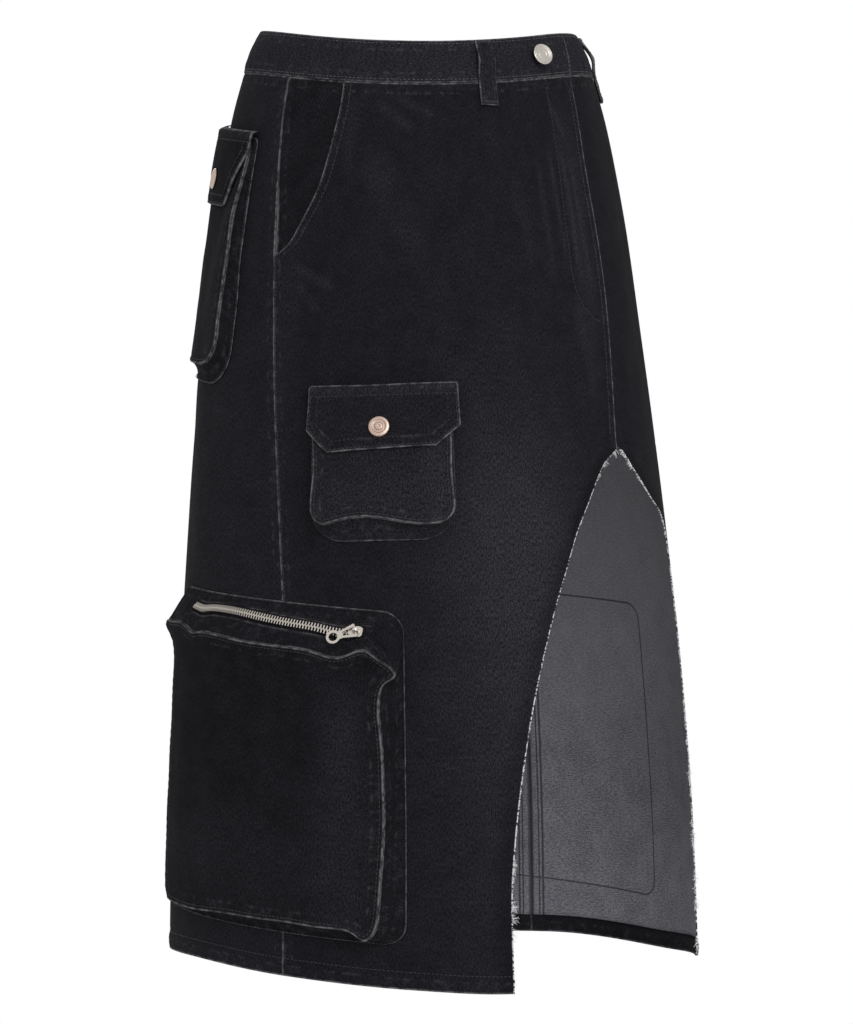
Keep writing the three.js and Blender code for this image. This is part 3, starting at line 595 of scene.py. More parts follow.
cloth_inside = wrong_side("wrong side of denim")
thread = Nodes("charcoal thread", (0.026, 0.026, 0.029), 0.9).material
thread_dark = Nodes("black thread", (0.010, 0.010, 0.012), 0.9).material
thread_pale = Nodes("worn pale thread", (0.075, 0.075, 0.08), 0.9).material
white_thread = Nodes("raw weft thread", (0.74, 0.74, 0.75), 0.9).material
nickel = metal("zip nickel", (0.56, 0.52, 0.47), 0.3, (0.30, 0.26, 0.22), 0.5)
button_metal = metal("button nickel", (0.50, 0.47, 0.43), 0.32, (0.24, 0.22, 0.2), 0.5)
copper = metal("snap copper", (0.52, 0.40, 0.34), 0.36, (0.24, 0.16, 0.12), 0.6)


def dress(piece, nodes, slot="denim"):
    """Puts a piece on the skirt's body, with its material slot and the solids that it replaces."""
    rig.ride(piece, "skirt")
    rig.slot(piece, slot)
    if nodes:
        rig.replaces(piece, *nodes)
    return piece


# Thread stitches laid along a path of points, each of rings (place along it, share of its radius)
STITCH_SIDES = 4
STITCH_RINGS = [(-1.0, 0.35), (-0.62, 1.0), (0.62, 1.0), (1.0, 0.35)]


def resample(path, normals, pitch):
    """Evenly spaced places on a path, with the path's way and the cloth's normal at each."""
    run = run_along(path)
    count = max(1, int(run[-1] // pitch))
    at = (np.arange(count) + 0.5) * run[-1] / count

    def blend(rows, places):
        return np.stack([np.interp(places, run, rows[:, k]) for k in range(3)], 1)

    return blend(path, at), blend(path, at + 0.4) - blend(path, at - 0.4), blend(normals, at)


def unit(vectors):
    return vectors / np.maximum(np.linalg.norm(vectors, axis=-1, keepdims=True), 1e-9)


def row_on(surface, x, y, lift=0.0):
    """A row of thread on a surface that two coordinates and a lift give."""
    path = surface(x, y, lift)
    return path, unit(surface(x, y, lift + 1.0) - path)


def tube_faces(count, rings, sides, base=0):
    """Walls and end caps of many small closed tubes, whose points run ring by ring."""
    walls = [
        [o + k, o + (k + 1) % sides, o + sides + (k + 1) % sides, o + sides + k]
        for o in range(0, sides * (rings - 1), sides) for k in range(sides)
    ]
    last = sides * (rings - 1)
    caps = [list(range(sides))[::-1], [last + k for k in range(sides)]]
    offsets = base + np.arange(count)[:, None, None] * sides * rings
    return [(np.array(block)[None] + offsets).reshape(-1, len(block[0])) for block in (walls, caps)]


def stitches(name, rows, material, pitch=3.3, length=2.5, radius=0.28, lift=0.1, across=False):
    """One piece of small threads along rows of (path, normals), or across them as in a tack."""
    all_points, all_faces, base = [], [], 0
    for path, normals in rows:
        centre, along_path, normal = resample(np.asarray(path), np.asarray(normals), pitch)
        t = unit(along_path)
        n = unit(normal - t * np.sum(normal * t, 1, keepdims=True))
        s = np.cross(t, n)
        if across:
            t, s = s, -t
        turn = np.arange(STITCH_SIDES) * 2 * np.pi / STITCH_SIDES
        rings = []
        for place, width in STITCH_RINGS:
            sink = radius * 1.1 * (1 - width) - lift
            ring = (
                centre[:, None] + t[:, None] * place * length / 2 - n[:, None] * sink
                + (s[:, None] * np.cos(turn)[None, :, None] + n[:, None] * np.sin(turn)[None, :, None])
                * radius * width
            )
            rings.append(ring)
        all_points.append(np.concatenate(rings, 1).reshape(-1, 3))
        all_faces += tube_faces(len(centre), len(STITCH_RINGS), STITCH_SIDES, base)
        base += len(all_points[-1])
    piece = mesh_piece(name, np.concatenate(all_points), all_faces, [material])
    return dress(piece, [])


# Creases on the body panels: from (angle, drop) to (angle, drop), depth and half width in mm.
CREASES = [
    (-70, 68, -62, 92, -0.9, 3.0), (-66, 66, -56, 86, -0.8, 2.6), (-58, 66, -50, 80, -0.6, 2.5),
    (-24, 64, -18, 84, -0.9, 2.6), (-20, 60, -13, 78, -0.8, 2.4), (-12, 56, -8, 74, -0.7, 2.4),
    (-93, 190, -80, 176, -0.9, 3.2), (-93, 196, -78, 200, -0.8, 3.4), (-92, 204, -82, 222, -0.7, 3.4),
    (-60, 118, -30, 128, -0.7, 9), (-66, 150, -28, 158, -0.6, 10), (-70, 226, -40, 240, -0.7, 12),
    (-14, 120, -8, 250, -0.8, 5), (-7, 100, -4, 270, -0.7, 3.4), (-20, 140, -16, 230, -0.5, 6),
    (-48, 250, -36, 400, -1.0, 15), (-30, 260, -24, 470, 1.2, 20), (-52, 420, -47, 720, 1.4, 22),
    (-42, 470, -41, 720, -0.8, 12), (20, 60, 24, 330, -0.9, 12), (48, 80, 52, 300, 0.9, 20),
    (60, 70, 66, 92, -0.9, 3.0), (70, 68, 64, 96, -0.8, 2.8), (94, 190, 80, 176, -0.9, 3.2),
    (92, 204, 82, 222, -0.7, 3.4), (45, 250, 40, 430, -1.0, 16), (55, 420, 52, 720, 1.3, 22),
    (-140, 300, -150, 430, -1.2, 14), (-160, 60, -150, 150, -0.9, 9), (-170, 120, -172, 330, 1.2, 18),
    (168, 60, 158, 140, -0.9, 9), (172, 150, 168, 360, 1.1, 18), (140, 260, 148, 420, -1.2, 14),
    (128, 420, 124, 720, 1.5, 22), (-128, 300, -124, 430, 1.1, 16), (156, 430, 158, 720, -1.3, 18),
    (-152, 460, -156, 720, -1.4, 18), (176, 420, 178, 720, 1.6, 24), (-138, 480, -136, 720, 1.2, 20),
]


def ridges(lines, x, y):
    """Soft ridges and troughs on lines (x0, y0, x1, y1, height, half width), all in mm."""
    x, y = np.broadcast_arrays(x, y)
    total = np.zeros(x.shape)
    for x0, y0, x1, y1, height, width in lines:
        dx, dy = x1 - x0, y1 - y0
        length = math.hypot(dx, dy)
        t = ((x - x0) * dx + (y - y0) * dy) / length**2
        away = ((x - x0) * dy - (y - y0) * dx) / length
        taper = smooth((t + 0.15) / 0.35) * smooth((1.15 - t) / 0.35)
        total += height * taper * hump(away, 0, width)
    return total


def ridges_round(lines, angle, drop):
    """The same, on lines (angle, drop, angle, drop, height, half width) round the body."""
    total = 0.0
    for a0, d0, a1, d1, height, width in lines:
        line = (0, d0, (a1 - a0) * PER_DEGREE, d1, height, width)
        total = total + ridges([line], wrapped(angle - a0) * PER_DEGREE, drop)
    return total


def relief(angle, drop):
    """How far the body's cloth stands off its smooth form, in mm."""
    below_band = smooth((drop - waist_edge(angle) - BAND_HEIGHT) / 8)
    return ridges_round(CREASES, angle, drop) * below_band


# (drop, how worn the middle of the right front is)
FADE_DOWN = [(0, 0), (200, 0.05), (300, 0.3), (392, 0.85), (520, 0.62), (640, 0.35), (745, 0.22)]
# Worn streaks: from (angle, drop) to (angle, drop), strength and half width in mm.
WORN_LINES = [
    (-21, 112, -19, 200, 0.30, 3.0), (-16, 105, -14, 190, 0.50, 2.4), (-11, 96, -9, 205, 0.55, 2.6),
    (-7, 112, -5, 200, 0.45, 2.2), (-13, 62, -8, 92, 0.45, 3.0), (-69, 70, -58, 92, 0.40, 3.0),
    (-64, 66, -52, 80, 0.30, 3.0), (-76, 66, -77, 130, 0.22, 6.0), (-92, 195, -80, 212, 0.35, 3.4),
    (-91, 206, -84, 232, 0.30, 3.4), (-70, 110, -56, 190, 0.18, 14), (69, 70, 58, 92, 0.4, 3.0),
    (-12, 215, -8, 300, 0.22, 6.0), (-30, 120, -26, 190, 0.14, 8.0),
    (76, 66, 77, 130, 0.22, 6.0), (92, 195, 80, 212, 0.35, 3.4),
]


def fade_at(angle, drop):
    """Where the wash has worn the cloth paler: mostly down the middle of each front."""
    streaks = ridges_round(WORN_LINES, angle, drop)
    front = 0.85 * hump(angle, -36, 17) * along(FADE_DOWN, drop)
    left = 0.5 * hump(angle, 50, 20) * along(FADE_DOWN, drop)
    fly = 0.25 * hump(angle, -6.5, 4.5) * smooth((drop - 50) / 60)
    fly = fly * (1 - smooth((drop - 230) / 60))
    sides = 0.12 * smooth((np.abs(angle) - 84) / 12)
    back = 0.3 * hump(np.abs(angle), 150, 20) * smooth((drop - 120) / 200)
    return np.clip(0.15 + front + left + fly + sides + back + streaks, 0, 1)


# Distances of rows and columns from an edge, fine next to it.
FINE_EDGE = [0, 0.5, 1.1, 2.0, 3.2, 5.0]
FINE_SIDE = [0, 0.5, 1.1, 2.0, 3.2, 5.0, 8.0, 10.7, 11.5]
FINE_HEM = [0, 0.4, 1.0, 2.2, 4.5, 7.5, 10.5, 13.2, 14.2]


def cloth_stand(angle, drop, out=None):
    """How far a panel's face stands off the smooth form, with its creases, hem and top seam."""
    shift = relief(angle, drop)
    if out is not None:
        shift = shift * 0.6 + out(angle, drop)
    hem_height = hem_edge(angle) - drop
    turned_up = hump(hem_height, 7, 4.5)
    groove = hump(hem_height, 13.4, 1.0)
    rope = np.sin((angle * 3.9 + hem_height * 0.9) / 2.4) * smooth((14 - hem_height) / 3)
    shift = shift + 0.55 * turned_up - 0.5 * groove + 0.28 * rope * smooth(hem_height / 3)
    top_gap = drop - waist_edge(angle) - BAND_HEIGHT
    return shift - 0.4 * hump(top_gap, 0, 1.2)


def panel(name, nodes, start, end, out=None, raw=(), allowance=()):
    """A body panel between two edges, each an angle worked out from the drop.
    raw and allowance name the edges that are left raw or have a seam allowance inside."""
    body = np.linspace(0, 1, 200)[1:-1]
    rows = [(0.0, o) for o in FINE_EDGE] + [(s, 0.0) for s in body if 0.008 < s < 0.976]
    rows += [(1.0, -o) for o in FINE_HEM[::-1]]

    def drop_of(share, offset, angle):
        top = waist_edge(angle) + BAND_HEIGHT + SEAM / 2
        return top + share * (hem_edge(angle) - top) + offset

    share = np.array([r[0] for r in rows])
    offset = np.array([r[1] for r in rows])
    ends = []
    for edge in (start, end):
        angle = edge(np.full(len(rows), 300.0))
        for _ in range(12):
            angle = 0.5 * angle + 0.5 * edge(drop_of(share, offset, angle))
        for _ in range(3):
            angle = edge(drop_of(share, offset, angle))
        ends.append(angle)
    width = np.abs(ends[1] - ends[0]) * PANEL_PER_DEGREE
    count = int(np.median(width) / GRID)
    fine = np.array(FINE_SIDE)
    steps = np.linspace(0, 1, count + 1)[None, :] * (width[:, None] - 2 * fine[-1]) + fine[-1]
    across = np.concatenate(
        [np.tile(fine[:-1], (len(rows), 1)), steps, width[:, None] - fine[:-1][::-1][None]], 1
    )
    t = across / width[:, None]
    angle = ends[0][:, None] + (ends[1] - ends[0])[:, None] * t
    drop = drop_of(share[:, None], offset[:, None], angle)
    shift = cloth_stand(angle, drop, out)
    hem_height = hem_edge(angle) - drop
    top_gap = drop - waist_edge(angle) - BAND_HEIGHT
    outer = skirt_point(angle, drop, shift)
    wall = CLOTH + 1.2 * smooth((HEM_TURN_UP + 0.3 - hem_height) / 0.8)
    from_side = {"start": across, "end": width[:, None] - across}
    for which in allowance:
        turned_in = smooth((ALLOWANCE + 0.4 - from_side[which]) / 0.7) * smooth(from_side[which] / 1.5)
        wall = wall + 1.0 * turned_in * (1 + 0.25 * np.sin(drop / 3.1))
    inner = skirt_point(angle, drop, shift - wall)
    edge = np.minimum(hem_height, top_gap)
    fray = np.full(angle.shape, FAR)
    for which, distance in from_side.items():
        reach = np.where(drop > SLIT_TOP - 1, distance, FAR) if which in raw else FAR
        fray = np.minimum(fray, reach)
        sewn = np.where(drop < SLIT_TOP, distance, FAR) if which in raw else distance
        if which in allowance:
            sewn = sewn + 0.6 * smooth((drop - SLASH_END + 2) / 6)
        edge = np.minimum(edge, sewn)
    uv = np.stack([angle * PANEL_PER_DEGREE, drop], -1)
    lap = np.full(angle.shape, 20.0)
    for which in allowance:
        lap = np.where(from_side[which] < 20, from_side[which] - ALLOWANCE, lap)
    inside = np.where((hem_height[:-1, :-1] + hem_height[1:, 1:]) / 2 < HEM_TURN_UP, 0, 1)
    values = {
        "edge": edge, "fade": fade_at(angle, drop), "fray": fray,
        "trace": zip_pocket_trace(angle, drop), "lap": lap,
        "pale": 0.25 * (1 - smooth((drop - 380) / 250)),
    }
    piece = shell(name, outer, inner, uv, [cloth_front, cloth_inside], values, inside_material=inside)
    return dress(piece, nodes)


# Half a seam's gap, in degrees
HALF_SEAM = SEAM / 6


def outer_front_edge(side):
    def edge(drop):
        ahead = np.where(drop < SLASH_END, along(SLASH_AHEAD, np.minimum(drop, SLASH_END)), 0.0)
        return side_seam(side, drop) - side * (ahead + HALF_SEAM)
    return edge


def right_front_end(drop):
    return np.where(drop < SLIT_TOP, fly_edge(drop), along(SLIT_RIGHT, drop))


def left_front_start(drop):
    under = fly_edge(drop) - UNDERLAP_ANGLE
    return np.where(drop < SLIT_TOP - 1, under, along(SLIT_LEFT, drop) + 2 * HALF_SEAM)


def left_front_out(angle, drop):
    beside = 1 - smooth((angle - fly_edge(np.minimum(drop, SLIT_TOP)) - 1) / 9)
    return -LAP * beside * (1 - smooth((drop - SLIT_TOP) / 60))


ZIP_POCKET_PLACE = {
    "front": -62.3, "angle_span": 70.7, "top": 457, "bottom": 704, "back_rise": 19, "radius": 16,
}


def zip_pocket_trace(angle, drop):
    """Signed distance in mm from the zip pocket's stitch line, which shows on the wrong side."""
    p = ZIP_POCKET_PLACE
    scale = per_degree(p["front"] - p["angle_span"] / 2, (p["top"] + p["bottom"]) / 2)
    width, height = p["angle_span"] * scale, p["bottom"] - p["top"]
    x = (np.abs(angle) + p["front"]) * scale
    y = drop - p["top"] + p["back_rise"] * x / width
    return inside_distance(x, y, 0, width, 0, height, p["radius"], p["radius"]) - 1.8


front_right = panel(
    "right_front", ["front_right_panel"], outer_front_edge(-1), right_front_end,
    raw=("end",), allowance=("start",),
)
front_left = panel(
    "left_front", ["front_left_panel"], left_front_start, outer_front_edge(1),
    out=left_front_out, raw=("start",), allowance=("end",),
)
backs = {}
for word, side in (("right", -1), ("left", 1)):
    backs[side] = panel(
        f"{word}_back", [f"back_{word}_panel"],
        lambda drop, side=side: side_seam(side, drop) + side * HALF_SEAM,
        lambda drop, side=side: np.full(np.shape(drop), side * (180 - HALF_SEAM)),
        allowance=("start", "end"),
    )


def facing(word, side):
    """The hip pocket's facing, which fills the slash and runs on under its edge."""
    rows = np.linspace(0, 1, 60)
    columns = np.linspace(0, 1, 26)
    top = BAND_HEIGHT + SEAM / 2
    drop = np.repeat((top + 1 + rows * (SLASH_END + 9 - top - 1))[:, None], len(columns), 1)
    start = side_seam(side, drop) - side * HALF_SEAM
    end = slash_edge(side, np.minimum(drop, SLASH_END)) - side * 4.4
    angle = start + (end - start) * columns[None]
    drop = np.maximum(drop, waist_edge(angle) + top)
    ahead = np.abs(angle - side_seam(side, drop))
    free = along(SLASH_AHEAD, np.minimum(drop, SLASH_END))
    sunk = smooth((drop - 115) / 45)
    out = -LAP * np.maximum(sunk * 1.25, smooth(ahead / np.maximum(1, free * 0.8)))
    outer = skirt_point(angle, drop, out)
    inner = skirt_point(angle, drop, out - CLOTH)
    edge = np.minimum(np.abs(angle - start) * 3, drop - waist_edge(angle) - top)
    values = plain_values(angle.shape, edge=edge, fade=0.14)
    uv = np.stack([angle * 3.0, drop], -1)
    piece = shell(f"{word}_hip_facing", outer, inner, uv, [cloth_facing, cloth_inside], values)
    return dress(piece, [f"hip_pocket_facing_{word}"])


facings = {side: facing(word, side) for word, side in (("right", -1), ("left", 1))}

# The waistband, from its underlap's end to its slanted upper end, in degrees
BAND_START = -17
BAND_END_TOP = 366.5
BAND_END_BOTTOM = 362.9
BAND_ROW = 2.6


def band_out(turn):
    return BAND_PROUD - (BAND_WALL + LAP_CLEARANCE) * (1 - smooth((turn - 7.5) / 12))


def band_place(turn, down):
    end = BAND_END_TOP + (BAND_END_BOTTOM - BAND_END_TOP) * down
    t = (turn - BAND_START) / (BAND_END_TOP - BAND_START)
    turned = BAND_START + t * (end - BAND_START)
    drop = waist_edge(turned) + down * (BAND_HEIGHT - SEAM / 2)
    return turned, drop


def band_stand(angle, mm):
    """How far the band's face stands off its smooth form, and how much its edges round off."""
    near = np.minimum(mm, BAND_HEIGHT - mm)
    round_off = 0.9 * rounding(near, 1.4)
    groove = 0.35 * hump(near, BAND_ROW, 0.8)
    swell = 0.35 * smooth((near - 3) / 6)
    ripple = 0.28 * np.sin(angle * 1.9) * np.sin(angle * 0.57 + mm * 0.16)
    ripple = ripple + 0.18 * np.sin(angle * 3.7 + mm * 0.5)
    return swell - groove + ripple * smooth(near / 4), round_off


def band_point(turn, down, lift=0.0):
    angle, drop = band_place(turn, down)
    stand, round_off = band_stand(angle, down * BAND_HEIGHT)
    return skirt_point(angle, drop, band_out(angle) + stand - round_off + lift)


def waistband():
    turn = np.linspace(BAND_START, BAND_END_TOP, 420)
    shares = np.array([0, 0.006, 0.02, 0.05, 0.1, 0.17, 0.26, 0.36, 0.47, 0.58, 0.68,
                       0.77, 0.85, 0.9, 0.94, 0.97, 0.985, 1])
    down = np.repeat(shares[:, None], len(turn), 1)
    angle, drop = band_place(turn[None, :], down)
    mm = down * BAND_HEIGHT
    near = np.minimum(mm, BAND_HEIGHT - mm)
    _, round_off = band_stand(angle, mm)
    outer = band_point(turn[None, :], down)
    inner = skirt_point(angle, drop, band_out(angle) - BAND_WALL + round_off)
    sides = np.minimum(turn - BAND_START, BAND_END_TOP - turn)[None, :] * 2.6
    edge = np.minimum(near + 0.3, sides + 0 * near)
    values = plain_values(angle.shape, edge=edge, fade=0.48)
    uv = np.stack([drop, angle * 2.6], -1)
    piece = shell("waistband_cloth", outer, inner, uv, [cloth_front, cloth_front], values)
    return dress(piece, ["waistband"])


band = waistband()


LOOP_WIDTH = 14
LOOP_LENGTH = 51
LOOP_GAP = 3.2
LOOP_ROW = 0.62


def loop_point(angle, t, u, lift=0.0):
    """A place on a belt loop: t down its length, u from edge to edge, -1 to 1."""
    half = LOOP_WIDTH / 2 / per_degree(angle, BAND_HEIGHT)
    bow = np.clip((t - 0.02) / 0.56, 0, 1)
    out = BAND_PROUD + SEAM + LOOP_GAP * np.sin(np.pi * bow) ** 2 + lift
    return skirt_point(angle + u * half, waist_edge(angle) + 1 + t * LOOP_LENGTH + 0 * u, out + 0 * u)


def belt_loop(word, angle):
    """A folded strap that stands off the band between its two tacked ends."""
    t = np.linspace(0, 1, 60)[:, None]
    u = np.array([-1, -0.94, -0.8, -0.6, -0.3, 0, 0.3, 0.6, 0.8, 0.94, 1])[None, :]
    soft = 0.7 * rounding(1 - np.abs(u), 0.18)
    groove = 0.35 * hump(np.abs(u), LOOP_ROW, 0.07)
    wave = 0.2 * np.sin(t * 30 + u * 2)
    outer = loop_point(angle, t, u, STRAP_WALL - soft - groove + wave)
    inner = loop_point(angle, t, u, 0.35 * soft)
    ends = np.minimum(t, 1 - t) * LOOP_LENGTH + 0 * u
    edge = np.minimum((1 - np.abs(u)) * LOOP_WIDTH / 2 + 0 * t, ends)
    values = plain_values(edge.shape, edge=edge + 0.6, fade=0.35)
    uv = np.stack(np.broadcast_arrays(u * LOOP_WIDTH / 2, t * LOOP_LENGTH), -1)
    piece = shell(f"{word}_belt_loop", outer, inner, uv, [cloth_front], values)
    return dress(piece, [f"belt_loop_{word}"])


LOOP_ANGLES = {"right": -35.5, "left": 35.5, "back": 180}
loops = {word: belt_loop(word, angle) for word, angle in LOOP_ANGLES.items()}


# Bellows pockets. Places are in mm, x back from the front edge and y down from the top.
CORNER_POINTS = 12
TUCK_FROM = 0.45
TUCK_OVER = 0.25
FACE_ROW = 3.0
FLAP_ROWS = (2.2, 8.4)
FLAP_FOLD = 9.0


def rounded_ring(left, right, top, bottom, radius_top, radius_bottom, level, upright):
    """An outline as points, from the top back corner round by the back, bottom and front."""
    corners = [
        (right - radius_top, top + radius_top, radius_top, -90, upright),
        (right - radius_bottom, bottom - radius_bottom, radius_bottom, 0, level),
        (left + radius_bottom, bottom - radius_bottom, radius_bottom, 90, upright),
        (left + radius_top, top + radius_top, radius_top, 180, level),
    ]
    points = []
    for i, (cx, cy, radius, turn, steps) in enumerate(corners):
        arc = np.radians(turn + np.linspace(0, 90, CORNER_POINTS + 1))
        points.append(np.stack([cx + radius * np.cos(arc), cy + radius * np.sin(arc)], 1))
        nx, ny, next_radius, next_turn, _ = corners[(i + 1) % 4]
        after = np.radians(next_turn)
        end = np.array([nx + next_radius * np.cos(after), ny + next_radius * np.sin(after)])
        t = np.linspace(0, 1, steps + 1)[1:-1, None]
        points.append(points[-1][-1] * (1 - t) + end * t)
    return np.concatenate(points)


def slid(slides, x, y):
    """Where soft shifts take a place, and how far out. Each slide is a row of
    (x, y, reach in x, reach in y, shift in x, in y and outwards)."""
    dx, dy, out = np.zeros(np.shape(x)), np.zeros(np.shape(x)), np.zeros(np.shape(x))
    for x0, y0, reach_x, reach_y, shift_x, shift_y, shift_out in slides:
        share = hump(x, x0, reach_x) * hump(y, y0, reach_y)
        dx = dx + share * shift_x
        dy = dy + share * shift_y
        out = out + share * shift_out
    return x + dx, y + dy, out


class Pocket:
    """side is -1 on the wearer's right. back_rise and lean set how its top rises towards the back
    and its front edge leans. inset is the face's, at the front, back, top and bottom, and slant
    lowers the front of its top edge. depths are (down, at the front, at the back). tuck draws the
    base in at the upper front. slides shift the face softly, and folds are ridge lines on it."""

    def __init__(self, side, front, angle_span, top, bottom, back_rise, lean, radius_top,
                 radius_bottom, face_radii, inset, crown, depths, slides, folds,
                 bellows, wash, gusset_folds=(), tuck=0, slant=0):
        self.side, self.front, self.top = side, front, top
        self.back_rise, self.lean = back_rise, lean
        self.inset, self.crown, self.depths = inset, crown, depths
        self.slides, self.folds, self.bellows = slides, folds, bellows
        self.gusset_folds, self.wash, self.slant = gusset_folds, wash, slant
        middle = (top + bottom) / 2
        self.per_degree = per_degree(front - angle_span / 2, middle)
        self.width = angle_span * self.per_degree
        self.height = bottom - top
        self.face_edges = (inset[0], self.width - inset[1], inset[2], self.height - inset[3])
        self.face_radii = face_radii
        level = int(self.width / 2.6)
        upright = int(self.height / 3)
        self.base = rounded_ring(
            0, self.width, 0, self.height, radius_top, radius_bottom, level, upright
        )
        near = 1 - smooth(self.base[:, 0] / (self.width / 2))
        high = 1 - smooth((self.base[:, 1] / self.height - TUCK_FROM) / TUCK_OVER)
        self.base[:, 0] += tuck * near * high
        self.rim = rounded_ring(*self.face_edges, *self.face_radii, level, upright)
        self.rim[:, 1] += self.lowered(*self.rim.T)
        self.top_side = len(self.base) - level + 1
        self.top_steps = level - 1

    def lowered(self, x, y):
        """How far the slant of the face's top edge takes a place of the face down."""
        return self.slant * (0.5 - x / self.width) * (1 - y / self.height)

    def at(self, x, y, out):
        leaned = x + self.lean * y / self.height
        angle = (self.front - leaned / self.per_degree) * -self.side
        return skirt_point(angle, self.top + y - self.back_rise * x / self.width, out)

    def shares(self, x, y):
        """A place of the face as shares of its width and its height."""
        left, right, top, bottom = self.face_edges
        return (x - left) / (right - left), (y - top) / (bottom - top)

    def depth(self, x, y):
        u, v = self.shares(x, y)
        crown = self.crown * 16 * np.maximum(0, u * (1 - u)) * np.maximum(0, v * (1 - v))
        front = along([row[:2] for row in self.depths], v)
        back = along([row[::2] for row in self.depths], v)
        return np.maximum(SHALLOWEST, front + (back - front) * u + crown)

    def face_point(self, x, y, lift=0.0):
        new_x, new_y, out = slid(self.slides, x, y)
        rise = self.depth(x, y) + out + ridges(self.folds, x, y) + lift
        return self.at(new_x, new_y, rise)

    def face(self, name, nodes):
        left, right, top, bottom = self.face_edges
        radius_top, radius_bottom = self.face_radii
        y = top + spread(bottom - top, 3.0, FINE_EDGE)
        cut = corner_cut(y - top, radius_top) + corner_cut(bottom - y, radius_bottom)
        share = spread(right - left, 3.0, FINE_EDGE) / (right - left)
        x = (left + cut)[:, None] + share[None] * (right - left - 2 * cut)[:, None]
        y = np.repeat(y[:, None], len(share), 1)
        edge = np.maximum(inside_distance(x, y, *self.face_edges, *self.face_radii), 0)
        ridge = 0.75 * hump(edge, 0, 1.4) - 0.45 * hump(edge, FACE_ROW, 1.0)
        pucker = 0.3 * np.sin((x + y) * 0.55) * np.sin((x - y) * 0.41) * np.exp(-edge / 7)
        lift = ridge + pucker - 0.5 * hump(edge, 0, 0.35)
        y = y + self.lowered(x, y)
        outer = self.face_point(x, y, lift)
        inner = self.face_point(x, y, lift * 0.6 - CLOTH)
        values = plain_values(x.shape, edge=edge, fade=self.wash + 0.3 * self.wear(x, y))
        piece = shell(name, outer, inner, np.stack([x, y], -1), [cloth_pocket, cloth_inside], values)
        return dress(piece, nodes)

    def wear(self, x, y):
        """How worn the face is: most near its front edge and low on it."""
        u, v = self.shares(x, y)
        near_front = hump(u, 0.13, 0.09) * smooth(v / 0.3)
        low = hump(v, 0.8, 0.16) * hump(u, 0.6, 0.42)
        return np.clip(near_front + 0.7 * low, 0, 1)

    def gusset_point(self, index, share, lift=0.0):
        """A place on the gusset: its share of the way from the base to the face, and its lift."""
        index = np.asarray(index, float)
        low = np.floor(index).astype(int) % len(self.base)
        high = (low + 1) % len(self.base)
        t = (index - np.floor(index))[..., None]
        base = self.base[low] * (1 - t) + self.base[high] * t
        rim = self.rim[low] * (1 - t) + self.rim[high] * t
        new_x, new_y, slid_out = slid(self.slides, rim[..., 0], rim[..., 1])
        target = np.stack([new_x, new_y], -1)
        ahead = target - base
        span = np.maximum(np.linalg.norm(ahead, axis=-1), 0.5)
        rise = self.depth(rim[..., 0], rim[..., 1]) + slid_out - CLOTH - FOOT
        slope = np.hypot(span, rise)
        inward = share * span - lift * rise / slope
        out = FOOT + share * rise + lift * span / slope
        place = base + ahead / span[..., None] * np.asarray(inward)[..., None]
        return self.at(place[..., 0], place[..., 1], out)

    def zip_index(self, share):
        """The place at a share of the way along the gusset's top side."""
        return self.top_side + share * self.top_steps

    def zip_share(self, index):
        """Where the zip's line lies at a place of the gusset's top side."""
        return along(ZIP_LINE, (index - self.top_side) / self.top_steps)

    def top_slope(self):
        return float(np.mean(self.gusset_slope()[self.top_side:]))

    def gusset_slope(self):
        """How deep the gusset's cloth is from the base to the face, at each place round it."""
        span = np.linalg.norm(self.rim - self.base, axis=1)
        rise = self.depth(self.rim[:, 0], self.rim[:, 1]) - CLOTH - FOOT
        return np.hypot(span, rise)

    def gusset(self, name, nodes, zip_run=None):
        """The bellows strip. zip_run is (first index, last index) of a zip along its top."""
        share = GUSSET_ROWS[:, None]
        index = np.arange(len(self.base))[None]
        slope = self.gusset_slope()[None]
        edge = np.minimum(share, 1 - share) * slope
        x, y = self.base[:, 0][None], self.base[:, 1][None]
        run = run_along(self.base)
        on_top = smooth(1 - (y - 2) / 18)
        fold = -self.bellows * np.sin(np.pi * share) * (1 - on_top)
        wave = 0.35 * np.sin(run / 5.3) * np.sin(np.pi * share) + 0.25 * np.sin(run / 1.9)
        lift = fold + wave * smooth(edge / 3) + 0.5 * hump(edge, 1.2, 1.0)
        lift = lift + ridges(self.gusset_folds, x + 0 * share, share * slope + 0 * x)
        if zip_run:
            first, last = zip_run
            away = np.abs(share - self.zip_share(index)) * slope
            along_zip = smooth((index - first + 2) / 3) * smooth((last + 2 - index) / 3)
            lift = lift * (1 - along_zip) - 0.45 * along_zip * (1 - smooth((away - 4.4) / 0.7))
            edge = np.minimum(edge, np.where(along_zip > 0.5, np.abs(away - 5.4) + 0.5, FAR))
        index, share = np.broadcast_arrays(index, share)
        foot = np.minimum(1, (share * slope + 0.001) / 3)
        wall = CLOTH * np.minimum(1, 0.25 + foot)
        outer = self.gusset_point(index, share, lift)
        inner = self.gusset_point(index, share, lift - wall)
        values = plain_values(edge.shape, edge=edge + 0.3, fade=self.wash + 0.04)
        uv = np.stack(np.broadcast_arrays(run, share * slope), -1)
        piece = shell(name, outer, inner, uv, [cloth_pocket, cloth_inside], values, ring=True)
        return dress(piece, nodes)


# Shares of the way from the base to the face, fine at both edges and along the zip
GUSSET_ROWS = np.array([
    0, 0.015, 0.03, 0.06, 0.1, 0.15, 0.2, 0.25, 0.29, 0.32, 0.345, 0.37, 0.4, 0.435, 0.47, 0.505,
    0.54, 0.57, 0.595, 0.62, 0.65, 0.7, 0.76, 0.82, 0.87, 0.91, 0.945, 0.97, 0.985, 1,
])


